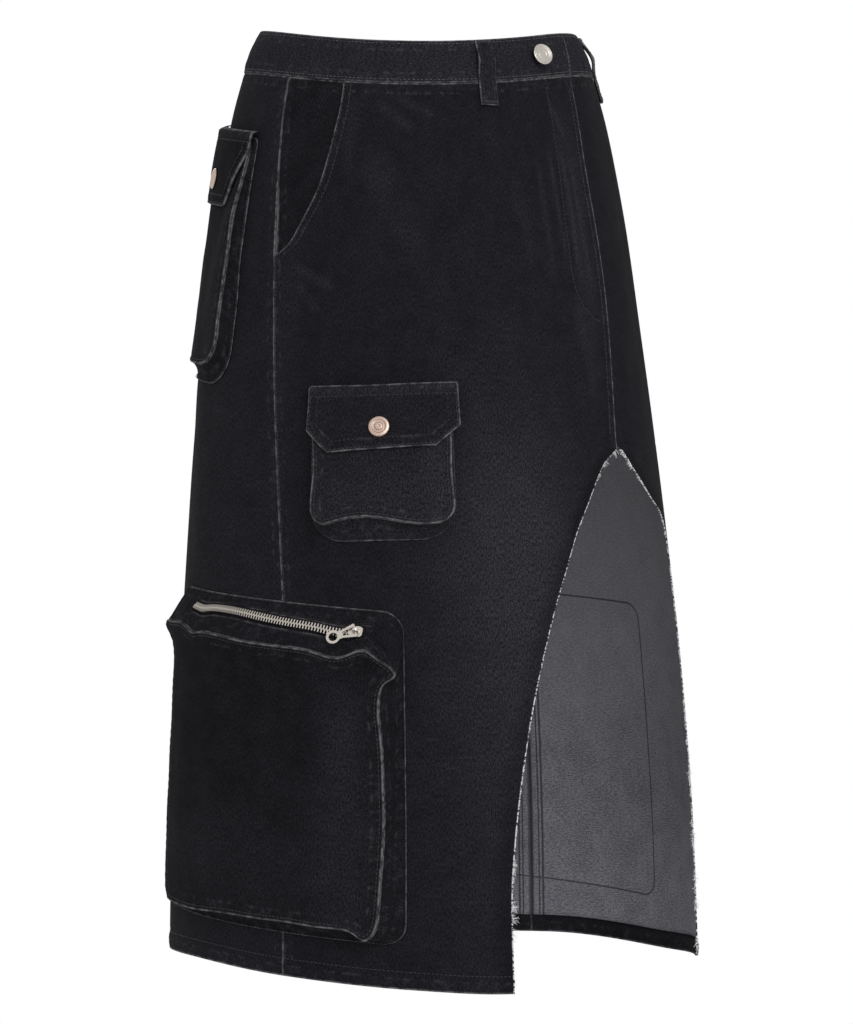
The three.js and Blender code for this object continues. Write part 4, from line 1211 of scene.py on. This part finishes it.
class Flap:
    """A flap over a pocket, hung from a seam above it, with its lower corners cut off."""

    def __init__(self, pocket, front, back, top, corner, bottom, cut, slides, folds):
        self.pocket, self.front, self.back, self.top = pocket, front, back, top
        self.corner, self.bottom, self.cut = corner, bottom, cut
        self.slides, self.folds = slides, folds

    def reach(self, from_side):
        """How long the flap is at a distance in from its side."""
        share = np.minimum(1, from_side / self.cut)
        return self.corner + (self.bottom - self.corner) * share

    def rest(self, x, y):
        """How far out the flap lies where it rests on its pocket."""
        pocket = self.pocket
        left, right, top, _ = pocket.face_edges
        seated = smooth((y - self.top + 1.2) / 3.6)
        on_face = pocket.depth(np.clip(x, left, right), np.maximum(y, top)) + LAP_CLEARANCE
        return FOOT + (on_face - FOOT) * seated

    def point(self, x, y, lift=0.0):
        new_x, new_y, out = slid(self.slides, x, y)
        rise = self.rest(x, y) + out + ridges(self.folds, x, y) + lift
        return self.pocket.at(new_x, new_y, rise)

    def edge_distance(self, x, y):
        side = np.minimum(x - self.front, self.back - x)
        down = y - self.top
        slope = (self.bottom - self.corner) / self.cut
        diagonal = (slope * side + self.corner - down) / math.hypot(1, slope)
        return np.minimum.reduce([side, self.bottom - down, diagonal])

    def build(self, name, nodes):
        width = self.back - self.front
        across = np.concatenate([spread(width, 2.4, FINE_EDGE), [self.cut, width - self.cut]])
        across = np.unique(np.round(across, 3))
        share = spread(1, 0.05, [0, 0.008, 0.02, 0.04, 0.07, 0.1])
        from_side = np.minimum(across, width - across)
        x = self.front + across[None] + 0 * share[:, None]
        down = share[:, None] * self.reach(from_side)[None]
        y = self.top + down
        edge = np.maximum(self.edge_distance(x, y), 0)
        rolled = -0.9 * rounding(edge, 1.5)
        rows = -0.4 * hump(edge, FLAP_ROWS[0], 0.8) - 0.3 * hump(edge, FLAP_ROWS[1], 0.9)
        pucker = 0.22 * np.sin((x + y * 0.4) * 1.15) * hump(edge, 5, 4)
        fold_row = -0.4 * hump(down, FLAP_FOLD, 1.0)
        lift = FLAP_WALL + rolled + rows + pucker + fold_row
        outer = self.point(x, y, lift)
        inner = self.point(x, y, 0.25 * smooth(1 - edge / 1.5))
        sewn = np.minimum(edge, np.where(down < 7, down + 0.2, FAR))
        worn = self.pocket.wash * 0.7 + 0.3 * hump(down, 5, 4)
        values = plain_values(x.shape, edge=sewn, fade=worn)
        piece = shell(name, outer, inner, np.stack([x, y], -1), [cloth_pocket, cloth_pocket], values)
        return dress(piece, nodes)


# Turned metal pieces
def standing(origin, across, up):
    """Axes that stand on the cloth: x across, y up and z outwards."""
    x = unit(across - origin)
    z = unit(np.cross(x, up - origin))
    return np.stack([x, np.cross(z, x), z])


def turned(name, profile, origin, axes, material, segments=72):
    """A turned solid from (radius, height) rows that start and end on the axis."""
    rows = np.array([row for row in profile if row[0] > 0], float)
    turn = np.arange(segments) * 2 * np.pi / segments
    ring = np.stack([np.cos(turn), np.sin(turn)], -1)
    body = np.concatenate([
        rows[:, None, :1] * ring[None], np.broadcast_to(rows[:, None, 1:], (len(rows), segments, 1))
    ], -1).reshape(-1, 3)
    ends = np.array([[0, 0, profile[0][1]], [0, 0, profile[-1][1]]], float)
    local = np.concatenate([body, ends])
    ids = np.arange(len(rows) * segments).reshape(len(rows), segments)
    after = np.roll(ids, -1, 1)
    walls = np.stack([ids[:-1], after[:-1], after[1:], ids[1:]], -1).reshape(-1, 4)
    bottom = np.stack([after[0], ids[0], np.full(segments, len(body))], -1)
    top = np.stack([ids[-1], after[-1], np.full(segments, len(body) + 1)], -1)
    points = origin + local @ axes
    faces = [walls, bottom, top]
    if signed_volume(points, faces) < 0:
        faces = [block[:, ::-1] for block in faces]
    piece = mesh_piece(name, points, faces, [material])
    piece.data.shade_smooth()
    return piece


def rounded_profile(corners, radius=0.25, steps=4):
    """Profile rows with each corner between the first and the last one rounded off."""
    rows = [corners[0]]
    for before, at, after in zip(corners, corners[1:], corners[2:]):
        before, at, after = np.array(before, float), np.array(at, float), np.array(after, float)
        into, out = before - at, after - at
        reach = min(radius, 0.4 * np.linalg.norm(into), 0.4 * np.linalg.norm(out))
        start = at + into / np.linalg.norm(into) * reach
        end = at + out / np.linalg.norm(out) * reach
        for t in np.linspace(0, 1, steps + 1):
            rows.append(tuple((1 - t) ** 2 * start + 2 * t * (1 - t) * at + t**2 * end))
    rows.append(corners[-1])
    return rows


FLAP_POCKET = Pocket(
    side=-1, front=-49.9, angle_span=34.4, top=289, bottom=402, back_rise=-3, lean=0,
    radius_top=6, radius_bottom=26, face_radii=(4, 13), inset=(2.6, 4, 6, 13), crown=2.5,
    depths=[(0, 6, 6), (0.35, 10, 10), (0.75, 13.5, 13.5), (1, 12.5, 12.5)],
    slides=[
        (66, 100, 24, 22, 0, -5.5, 0.6), (26, 98, 14, 14, 0, 1.5, 0), (98, 102, 10, 12, 0, 1.5, 0.5),
        (104, 60, 14, 20, -2.0, 0, 0), (6, 64, 12, 22, 1.6, 0, 0),
    ],
    folds=[(88, 88, 92, 68, 1.4, 6), (22, 70, 18, 92, 1.2, 5), (60, 92, 40, 84, -0.9, 7)],
    bellows=2.2, wash=0.4,
)
FLAP_POCKET_FLAP = Flap(
    FLAP_POCKET, front=-3.6, back=FLAP_POCKET.width + 0.5, top=-5, corner=33, bottom=49.5, cut=18,
    slides=[(100, 40, 26, 20, 0, 2.0, 0), (20, 40, 26, 20, 0, -1.6, 0), (60, -4, 30, 8, 0, 0.8, 0)],
    folds=[(96, 8, 92, 40, 1.0, 7), (26, 6, 30, 38, 0.9, 8), (58, 10, 62, 24, -0.5, 9)],
)
HIP_POCKET = Pocket(
    side=-1, front=-109.2, angle_span=43, top=94, bottom=286, back_rise=16, lean=14,
    radius_top=6, radius_bottom=30, face_radii=(5, 24), inset=(7, 6, 6, 16), crown=-3.4,
    depths=[(0, 6, 5.4), (0.3, 10, 5.4), (0.7, 13.5, 5.4), (1, 11, 5.4)], tuck=4, wash=0.12,
    slides=[(10, 60, 14, 22, 2.5, 0, 1.0), (8, 120, 14, 26, -1.5, 0, 0), (60, 172, 30, 16, 0, 2, 0)],
    folds=[(20, 70, 26, 130, 1.2, 8), (50, 80, 46, 150, -0.9, 10), (100, 90, 96, 150, 0.8, 10)],
    bellows=2.4,
)
HIP_POCKET_FLAP = Flap(
    HIP_POCKET, front=5, back=HIP_POCKET.width + 2.5, top=-5, corner=17, bottom=60, cut=23,
    slides=[(6, 30, 16, 14, 1.5, 2.0, 0.8)],
    folds=[(20, 6, 24, 40, 1.0, 8), (70, 8, 66, 44, -0.7, 12), (112, 8, 108, 36, 0.9, 8)],
)


def zip_pocket(side):
    p = ZIP_POCKET_PLACE
    return Pocket(
        side=side, front=p["front"], angle_span=p["angle_span"], top=p["top"], bottom=p["bottom"],
        back_rise=p["back_rise"], lean=0, slant=11, wash=0.1,
        radius_top=p["radius"], radius_bottom=p["radius"], face_radii=(6, 13),
        inset=(15, 4, 31, 11), crown=2,
        depths=[(0, 17.5, 16), (0.07, 15, 9.5), (0.2, 14, 8), (0.8, 16, 8.5), (1, 14.5, 8)],
        slides=ZIP_POCKET_SLIDES, folds=ZIP_POCKET_FOLDS, bellows=3.0,
        gusset_folds=ZIP_GUSSET_FOLDS,
    )


ZIP_POCKET_SLIDES = [
    (31, 36, 8, 12, -3.0, -6.0, 1.2), (50, 36, 13, 14, 0, 3.5, -0.5), (15, 38, 11, 12, -10.0, 7.0, 0.8),
    (16, 74, 12, 20, 2.5, 0, 0), (14, 150, 12, 30, -1.0, 0, 0), (15, 205, 12, 20, 1.5, 0, 0),
    (200, 30, 14, 12, 0, -2.5, 0.8), (182, 32, 9, 12, 0, 3.5, -0.8), (120, 31, 26, 12, 0, 1.2, 0),
    (18, 236, 15, 18, 5.0, 10.5, 0.6), (60, 236, 22, 16, 0, 2.0, 0), (110, 236, 30, 16, 0, 1.6, 0),
    (190, 236, 50, 18, 0, 6.0, 0), (262, 236, 40, 18, 0, 7.0, 0),
]
ZIP_POCKET_FOLDS = [
    (27, 33, 50, 44, 1.6, 5), (27, 40, 46, 56, -1.3, 6), (182, 34, 160, 42, 1.2, 6),
    (60, 40, 140, 44, 0.9, 7), (60, 52, 150, 55, -1.1, 8), (24, 60, 22, 200, 1.0, 8),
    (90, 90, 110, 200, -1.2, 26), (150, 100, 170, 210, 1.4, 26), (196, 60, 206, 200, 0.9, 12),
    (60, 226, 150, 222, -1.0, 10),
]
ZIP_GUSSET_FOLDS = [(27, 24, 6, 12, 1.6, 4), (20, 26, 4, 20, -1.6, 4), (196, 20, 214, 12, 1.2, 5)]
# (place along the gusset's top side, share of the way from the base to the face)
ZIP_LINE = [(0, 0.54), (0.3, 0.49), (0.6, 0.39), (0.9, 0.49)]
# Its slider and its end as shares of the top side, the rest in mm
ZIP = {"slider": 0.075, "end": 0.83, "pitch": 2.5, "row": 6.4, "half_width": 2.9, "tooth": 0.46}

zip_pockets = {"right": zip_pocket(-1), "left": zip_pocket(1)}
pockets = {
    "front_flap_pocket": FLAP_POCKET, "hip_flap_pocket": HIP_POCKET,
    "right_zip_pocket": zip_pockets["right"], "left_zip_pocket": zip_pockets["left"],
}
flaps = {"front": FLAP_POCKET_FLAP, "hip": HIP_POCKET_FLAP}
pieces_of = {}
for word, pocket in pockets.items():
    run = None
    if pocket in zip_pockets.values():
        run = (pocket.zip_index(ZIP["slider"] - 0.05), pocket.zip_index(ZIP["end"]))
    pieces_of[word] = (
        pocket.face(f"{word}_cloth", [f"{word}_face"]),
        pocket.gusset(f"{word}_bellows", [f"{word}_gusset"], run),
    )
flap_cloths = {
    word: flap.build(f"{word}_flap", [f"{word}_flap_pocket_flap"]) for word, flap in flaps.items()
}

# Snaps and the waist button
SNAP_PROFILE = rounded_profile([
    (0, 0), (7.4, 0), (8.2, 0.6), (7.6, 1.7), (5.6, 2.0), (4.8, 1.2), (3.4, 1.2), (2.8, 2.3),
    (1.2, 2.4), (0.9, 2.0), (0, 2.0),
])


def snap(word, x, down):
    """The snap of a flap, at a distance back from its pocket's front edge and down the flap."""
    flap = flaps[word]
    y = flap.top + down
    on_flap = FLAP_WALL + SEAM
    spots = [(x, y), (x + 4 * flap.pocket.side, y), (x, y - 4)]
    origin, across, up = (flap.point(np.array(a), np.array(b), on_flap) for a, b in spots)
    piece = turned(f"{word}_flap_snap", SNAP_PROFILE, origin, standing(origin, across, up), copper)
    return dress(piece, [f"{word}_flap_pocket_snap"], "snap_metal")


snap("front", 53, 33)
snap("hip", HIP_POCKET.width / 2, 40)

BUTTON = {"angle": -13.8, "drop": 29, "radius": 8.5, "stem": 3.2, "height": 6.4, "tilt": -19}


def waist_button():
    b = BUTTON
    origin, across, up = (
        skirt_point(b["angle"] + turn, b["drop"] + down, BAND_PROUD + SEAM)
        for turn, down in ((0, 0), (1, 0), (0, -5))
    )
    axes = standing(origin, across, up)
    tilt = math.radians(b["tilt"])
    lifted = origin + axes[2] * b["stem"] * math.sin(abs(tilt))
    tilted = np.stack([
        axes[0] * math.cos(tilt) - axes[2] * math.sin(tilt), axes[1],
        axes[2] * math.cos(tilt) + axes[0] * math.sin(tilt),
    ])
    radius, height = b["radius"], b["height"]
    profile = rounded_profile([
        (0, 0), (b["stem"], 0), (b["stem"], height - 3), (radius - 0.5, height - 2.2),
        (radius, height - 1.4), (radius - 0.3, height - 0.3), (radius - 0.9, height),
        (radius - 1.8, height - 0.7), (radius - 2.3, height - 0.8), (radius - 2.6, height - 0.55),
        (radius - 3.0, height - 0.8), (3.6, height - 0.75), (3.3, height - 0.45),
        (2.9, height - 0.7), (0, height - 0.5),
    ], 0.2)
    piece = turned("waist_button_turned", profile, lifted, tilted, button_metal)
    return dress(piece, ["waist_button"], "button_metal")


waist_button()


# Zip teeth, a row on each side of the middle line, in turn
def zip_chain(word, pocket):
    """The teeth, each of three sections across the zip: (reach, low, high, half length)."""
    index = pocket.zip_index(np.linspace(0, 1, 400))
    run = run_along(pocket.gusset_point(index, pocket.zip_share(index), 0.0))
    start = run[-1] * ZIP["slider"] + 5.4
    places = np.arange(start, run[-1] * ZIP["end"], ZIP["pitch"] / 2)
    at = np.interp(places, run, index)
    slope = pocket.top_slope()
    tooth = ZIP["tooth"]
    boxes = []
    for k, (u, ahead) in enumerate(zip(at, np.interp(places + 0.5, run, index))):
        way = 1 if k % 2 else -1
        corners = []
        for reach, low, high, half in (
            (-0.55, 0.55, 2.35, tooth), (0.6, 0.35, 2.75, tooth * 1.15),
            (ZIP["half_width"], 0.3, 2.5, tooth),
        ):
            share = pocket.zip_share(u) + way * reach / slope
            here, there = (
                pocket.gusset_point(np.array(v), np.array(share), 0.0) for v in (u, ahead)
            )
            along_zip = unit(there - here)
            out = unit(pocket.gusset_point(np.array(u), np.array(share), 1.0) - here)
            for lift, side in ((low, -1), (low, 1), (high, 1), (high, -1)):
                corners.append(here + along_zip * side * half + out * lift)
        boxes.append(np.array(corners))
    block = [(0, 3, 2, 1), (8, 9, 10, 11)]
    for s in (0, 4):
        for k in range(4):
            block.append((s + k, s + (k + 1) % 4, s + 4 + (k + 1) % 4, s + 4 + k))
    faces = np.concatenate([np.array(block) + 12 * k for k in range(len(boxes))])
    piece = mesh_piece(f"{word}_zip_teeth", np.concatenate(boxes), [faces], [nickel])
    piece.data.shade_flat()
    return dress(piece, [f"{word}_zip_pocket_chain"], "zip_metal")


for word, pocket in zip_pockets.items():
    zip_chain(word, pocket)
    for part in ("slider", "pull"):
        node = frame["nodes"][f"{word}_zip_pocket_{part}"]
        node.data.materials.clear()
        node.data.materials.append(nickel)

# Sewing
def run_of(*points, count=160):
    """Evenly spaced places along a line through points."""
    points = np.array(points, float)
    run = run_along(points)
    at = np.linspace(0, run[-1], count)
    return np.interp(at, run, points[:, 0]), np.interp(at, run, points[:, 1])


def body_row(angle, drop, out=None):
    def surface(a, d, lift):
        return skirt_point(a, d, cloth_stand(a, d, out) + lift)
    return row_on(surface, np.asarray(angle, float), np.asarray(drop, float))


HEM_STITCH = 13
SEAM_STITCH = 2
SECOND_STITCH = 8.4
ZIP_POCKET_SPAN = (450, 708)
FLY_SPAN = (52, 322)
BACK_SPAN = (66, 714)
# The fly's curved row turns in from its straight run, degrees ahead of the edge and mm down.
FLY_CURVE = {"edge": -1.2, "reach": 11.5, "from": 190, "fall": 44, "turn": 84}
HEM_SPANS = ((34.2, 180), (-180, -40.8))
# The cloth in one degree round the body at each of these seams, in mm
AT_SEAM = {"slash": 3.1, "fly": 3.2, "back": 3.4, "side": 3.8}


def body_rows():
    rows = []
    for side in (-1, 1):
        out = left_front_out if side > 0 else None
        for beside in (SEAM_STITCH, SECOND_STITCH):
            drop = np.linspace(40, SLASH_END - beside, 90)
            angle = slash_edge(side, drop) - side * beside / AT_SEAM["slash"]
            below_band = drop > waist_edge(angle) + BAND_HEIGHT + 1.5
            rows.append(body_row(angle[below_band], drop[below_band], out))
        low = hem_edge(side * 90) - HEM_STITCH
        for top, bottom in ((SLASH_END + 2, ZIP_POCKET_SPAN[0]), (ZIP_POCKET_SPAN[1], low)):
            drop = np.linspace(top, bottom, 120)
            angle = side_seam(side, drop) - side * SEAM_STITCH / AT_SEAM["side"]
            rows.append(body_row(angle, drop, out))
        drop = np.linspace(*BACK_SPAN, 200)
        rows.append(body_row(np.full(200, side * (180 - SEAM_STITCH / AT_SEAM["back"])), drop))
    for beside in (SEAM_STITCH, SECOND_STITCH):
        drop = np.linspace(*FLY_SPAN, 140)
        rows.append(body_row(fly_edge(drop) - beside / AT_SEAM["fly"], drop))
    c = FLY_CURVE
    turn = np.radians(np.linspace(0, c["turn"], 40))
    curve = np.stack([c["edge"] - c["reach"] * np.cos(turn), c["from"] + c["fall"] * np.sin(turn)], 1)
    rows.append(body_row(*run_of((c["edge"] - c["reach"], FLY_SPAN[0]), *curve)))
    for span, out in zip(HEM_SPANS, (left_front_out, None)):
        angle = np.linspace(*span, 260)
        rows.append(body_row(angle, hem_edge(angle) - HEM_STITCH, out))
    return rows


def band_rows():
    turn = np.linspace(BAND_START + 20, BAND_END_TOP - 0.9, 420)
    inset = BAND_ROW / BAND_HEIGHT
    rows = [row_on(band_point, turn, np.full(420, down)) for down in (inset, 1 - inset)]
    down = np.linspace(inset, 1 - inset, 20)
    rows.append(row_on(band_point, np.full(20, BAND_END_TOP - 0.9), down))
    return rows


def loop_rows(angle):
    t = np.linspace(0.03, 0.97, 40)
    return [
        row_on(lambda a, b, lift: loop_point(angle, a, b, STRAP_WALL - 0.3 + lift), t, np.full(40, u))
        for u in (-LOOP_ROW, LOOP_ROW)
    ]


def loop_tacks(angle):
    u = np.linspace(-0.8, 0.8, 20)
    return [
        row_on(lambda a, b, lift: loop_point(angle, b, a, STRAP_WALL + lift), u, np.full(20, t))
        for t in (0.03, 0.95)
    ]


def face_row(pocket, inset=FACE_ROW):
    left, right, top, bottom = pocket.face_edges
    radii = [max(1.0, radius - inset) for radius in pocket.face_radii]
    ring = rounded_ring(left + inset, right - inset, top + inset, bottom - inset, *radii, 60, 60)
    x, y = np.concatenate([ring, ring[:1]]).T
    return row_on(pocket.face_point, x, y + pocket.lowered(x, y), -0.35)


def gusset_row(pocket, inset=1.5):
    index = np.linspace(0, len(pocket.base), 4 * len(pocket.base))
    slope = np.interp(index, np.arange(len(pocket.base)), pocket.gusset_slope())
    return row_on(pocket.gusset_point, index, inset / slope, 0.45)


def zip_rows(pocket):
    index = pocket.zip_index(np.linspace(0.01, ZIP["end"] + 0.02, 300))
    return [
        row_on(pocket.gusset_point, index, pocket.zip_share(index) + off / pocket.top_slope(), 0.1)
        for off in (-ZIP["row"], ZIP["row"])
    ]


def flap_rows(flap):
    slope = (flap.bottom - flap.corner) / flap.cut
    reach = math.hypot(1, slope)
    rows = []
    for inset in FLAP_ROWS:
        corner = slope * inset + flap.corner - inset * reach
        along_bottom = (flap.bottom - inset - flap.corner + inset * reach) / slope
        x, down = run_of(
            (flap.front + inset, 8), (flap.front + inset, corner),
            (flap.front + along_bottom, flap.bottom - inset),
            (flap.back - along_bottom, flap.bottom - inset),
            (flap.back - inset, corner), (flap.back - inset, 8), count=260,
        )
        rows.append(row_on(flap.point, x, flap.top + down, FLAP_WALL - 0.3))
    x = np.linspace(flap.front + 1.5, flap.back - 1.5, 120)
    rows.append(row_on(flap.point, x, np.full(120, flap.top + FLAP_FOLD - 0.4), FLAP_WALL - 0.3))
    return rows


BUTTONHOLE = {"front": -10.6, "back": -18.4, "down": BUTTON["drop"] - 19.6, "half_width": 1.1}


def buttonhole_rows():
    b = BUTTONHOLE
    turn = np.linspace(b["back"], b["front"], 30)
    return [
        row_on(band_point, turn, np.full(30, (b["down"] + off) / BAND_HEIGHT))
        for off in (-b["half_width"], b["half_width"])
    ]


stitches("skirt_stitches", body_rows(), thread)
stitches("waistband_stitches", band_rows(), thread_pale)
for word, angle in LOOP_ANGLES.items():
    stitches(f"{word}_loop_stitches", loop_rows(angle), thread, radius=0.24)
    stitches(f"{word}_loop_tacks", loop_tacks(angle), thread, 0.6, 2.0, 0.26, across=True)
for word, pocket in pockets.items():
    stitches(f"{word}_face_stitches", [face_row(pocket)], thread)
    stitches(f"{word}_base_stitches", [gusset_row(pocket)], thread_dark)
for word, pocket in zip_pockets.items():
    stitches(f"{word}_zip_stitches", zip_rows(pocket), thread_dark)
for word, flap in flaps.items():
    stitches(f"{word}_flap_stitches", flap_rows(flap), thread)
stitches("buttonhole_stitches", buttonhole_rows(), thread, 0.55, 1.9, 0.24, across=True)

# Raw slit edges shed their pale weft threads, most at the slit's top and near the hem.
THREAD_SIDES = 3
THREAD_STEPS = 4
THREAD_RADIUS = 0.24
# (drop, share of the longest thread)
RIGHT_FRAY = [
    (333, 1.4), (352, 1.1), (360, 0.4), (560, 0.3), (642, 0.4), (648, 1.5), (694, 1.3), (712, 0.6),
    (745, 0.6),
]
LEFT_FRAY = [(333, 1.0), (352, 0.45), (540, 0.45), (610, 0.85), (660, 1.0), (745, 1.0)]


def loose_threads(name, edge, way, first, last, spacing, longest, strength, seed):
    """Fine threads that stick out of a raw edge, way is +1 or -1 along the angle."""
    chance = np.random.default_rng(seed)
    even = np.arange(first, last, spacing)
    count = len(even)
    drop = even + chance.uniform(-0.3, 0.3, count)
    angle = edge(drop)
    root = skirt_point(angle - way * 0.25, drop, -CLOTH / 2 + chance.uniform(-0.3, 0.3, count))
    ahead = unit(skirt_point(angle + way, drop) - skirt_point(angle, drop))
    outward = unit(skirt_point(angle, drop, 1.0) - skirt_point(angle, drop))
    clumps = 0.55 + 0.45 * np.sin(drop * 0.35 + 3 * np.sin(drop * 0.11))
    length = longest * straight(strength, drop) * clumps * chance.uniform(0.35, 1.0, count)
    down = np.array([0, 0, -1.0])
    lean = chance.normal(0.25, 0.45, (count, 1))
    off = chance.normal(0.05, 0.3, (count, 1))
    heading = unit(ahead + down * lean + outward * off)
    curl = chance.normal(0, 0.35, (count, 1)) * outward + chance.normal(0.35, 0.3, (count, 1)) * down
    t = np.linspace(0, 1, THREAD_STEPS + 1)
    spine = root[:, None] + length[:, None, None] * (
        heading[:, None] * t[None, :, None] + curl[:, None] * (t**2)[None, :, None] * 0.6
    )
    side = unit(np.cross(heading, outward))
    other = unit(np.cross(heading, side))
    turn = np.arange(THREAD_SIDES) * 2 * np.pi / THREAD_SIDES
    width = THREAD_RADIUS * (1 - 0.6 * t)
    ring = side[:, None] * np.cos(turn)[None, :, None] + other[:, None] * np.sin(turn)[None, :, None]
    points = spine[:, :, None] + ring[:, None] * width[None, :, None, None]
    faces = tube_faces(count, THREAD_STEPS + 1, THREAD_SIDES)
    return dress(mesh_piece(name, points.reshape(-1, 3), faces, [white_thread]), [])


loose_threads("right_slit_fray", right_front_end, 1, 334, 741, 0.4, 5.4, RIGHT_FRAY, 11)
loose_threads("left_slit_fray", left_front_start, -1, 334, 739, 0.3, 7.0, LEFT_FRAY, 12)

# Each cloth piece's cut size before it was sewn, width and length in mm, and area in square metres.
# The panels' widths are at their widest, and their areas leave out the slit and the slashes.
CUTS = [
    (front_right, 375, 712, 0.166), (front_left, 440, 716, 0.19),
    (backs[-1], 372, 706, 0.199), (backs[1], 368, 712, 0.191),
    (facings[-1], 62, 156, 0.0068), (facings[1], 66, 168, 0.0078),
    (band, BAND_HEIGHT, 880, None),
]
for piece, width, length, area in CUTS:
    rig.sheet(piece, flat=(width * MM, length * MM), held="hung", area=area)
for loop in loops.values():
    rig.sheet(loop, flat=(LOOP_WIDTH * MM, LOOP_LENGTH * MM), held="hung")
for word, pocket in pockets.items():
    left, right, top, bottom = pocket.face_edges
    face, gusset = pieces_of[word]
    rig.sheet(face, flat=((right - left) * MM, (bottom - top) * MM), held="hung")
    strip = run_along(pocket.base)[-1]
    deep = float(np.mean(pocket.gusset_slope()))
    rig.sheet(gusset, flat=(deep * MM, strip * MM), held="hung")
for word, flap in flaps.items():
    width = flap.back - flap.front
    cut_off = flap.cut * (flap.bottom - flap.corner)
    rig.sheet(
        flap_cloths[word], flat=(width * MM, flap.bottom * MM), held="hung",
        area=(width * flap.bottom - cut_off) * MM * MM,
    )

# The camera stands level, 60 degrees off the front on the wearer's right, as in the photo.
OFF_FRONT = math.radians(60)
VIEW = Vector((math.sin(OFF_FRONT), math.cos(OFF_FRONT), 0))
PICTURE_RIGHT = Vector((math.cos(OFF_FRONT), -math.sin(OFF_FRONT), 0))
CAMERA_DISTANCE = 3.2
CAMERA_RIGHT = 0.005
CAMERA_HEIGHT = -0.382
camera_data = bpy.data.cameras.new("camera")
camera_data.lens = 140.625
camera_data.sensor_width = 36
camera_data.clip_end = 60
camera = bpy.data.objects.new("camera", camera_data)
camera.location = -CAMERA_DISTANCE * VIEW + CAMERA_RIGHT * PICTURE_RIGHT + Vector((0, 0, CAMERA_HEIGHT))
camera.rotation_euler = VIEW.to_track_quat("-Z", "Y").to_euler()
bpy.context.scene.collection.objects.link(camera)
bpy.context.scene.camera = camera


def area_light(name, place, aim, size, power):
    data = bpy.data.lights.new(name, "AREA")
    data.shape = "DISK"
    data.size = size
    data.energy = power
    light = bpy.data.objects.new(name, data)
    light.location = place
    light.rotation_euler = (Vector(aim) - Vector(place)).to_track_quat("-Z", "Y").to_euler()
    bpy.context.scene.collection.objects.link(light)


MIDDLE = (0, 0, -0.38)
area_light("key", (-2.2, -2.4, 1.5), MIDDLE, 1.6, 42)
area_light("fill", (-1.2, -3.0, -0.2), MIDDLE, 2.2, 14)
area_light("rim", (2.4, 1.6, 1.6), MIDDLE, 1.8, 24)

BACKGROUND = 1.0
world = bpy.data.worlds.new("studio")
world.use_nodes = True
world.node_tree.nodes["Background"].inputs["Color"].default_value = (1, 1, 1, 1)
world.node_tree.nodes["Background"].inputs["Strength"].default_value = BACKGROUND
bpy.context.scene.world = world
bpy.context.scene.view_settings.view_transform = "Standard"

# The floor glows as evenly as the background does, so the picture is one pale tone.
bpy.ops.mesh.primitive_circle_add(vertices=96, radius=50, fill_type="NGON", location=(0, 0, -0.9))
floor = bpy.context.object
floor.name = "floor"
floor_look = Nodes("pale floor", (0, 0, 0), 1.0)
floor_look.shader.inputs["Specular IOR Level"].default_value = 0
floor_look.shader.inputs["Emission Color"].default_value = (1, 1, 1, 1)
floor_look.shader.inputs["Emission Strength"].default_value = BACKGROUND
floor.data.materials.append(floor_look.material)
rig.stage(floor)

json.dump(
    {
        "cad": [list(corner) for corner in cad_box],
        "visual": [list(corner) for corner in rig.bounds()],
    },
    open("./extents.json", "w"),
)
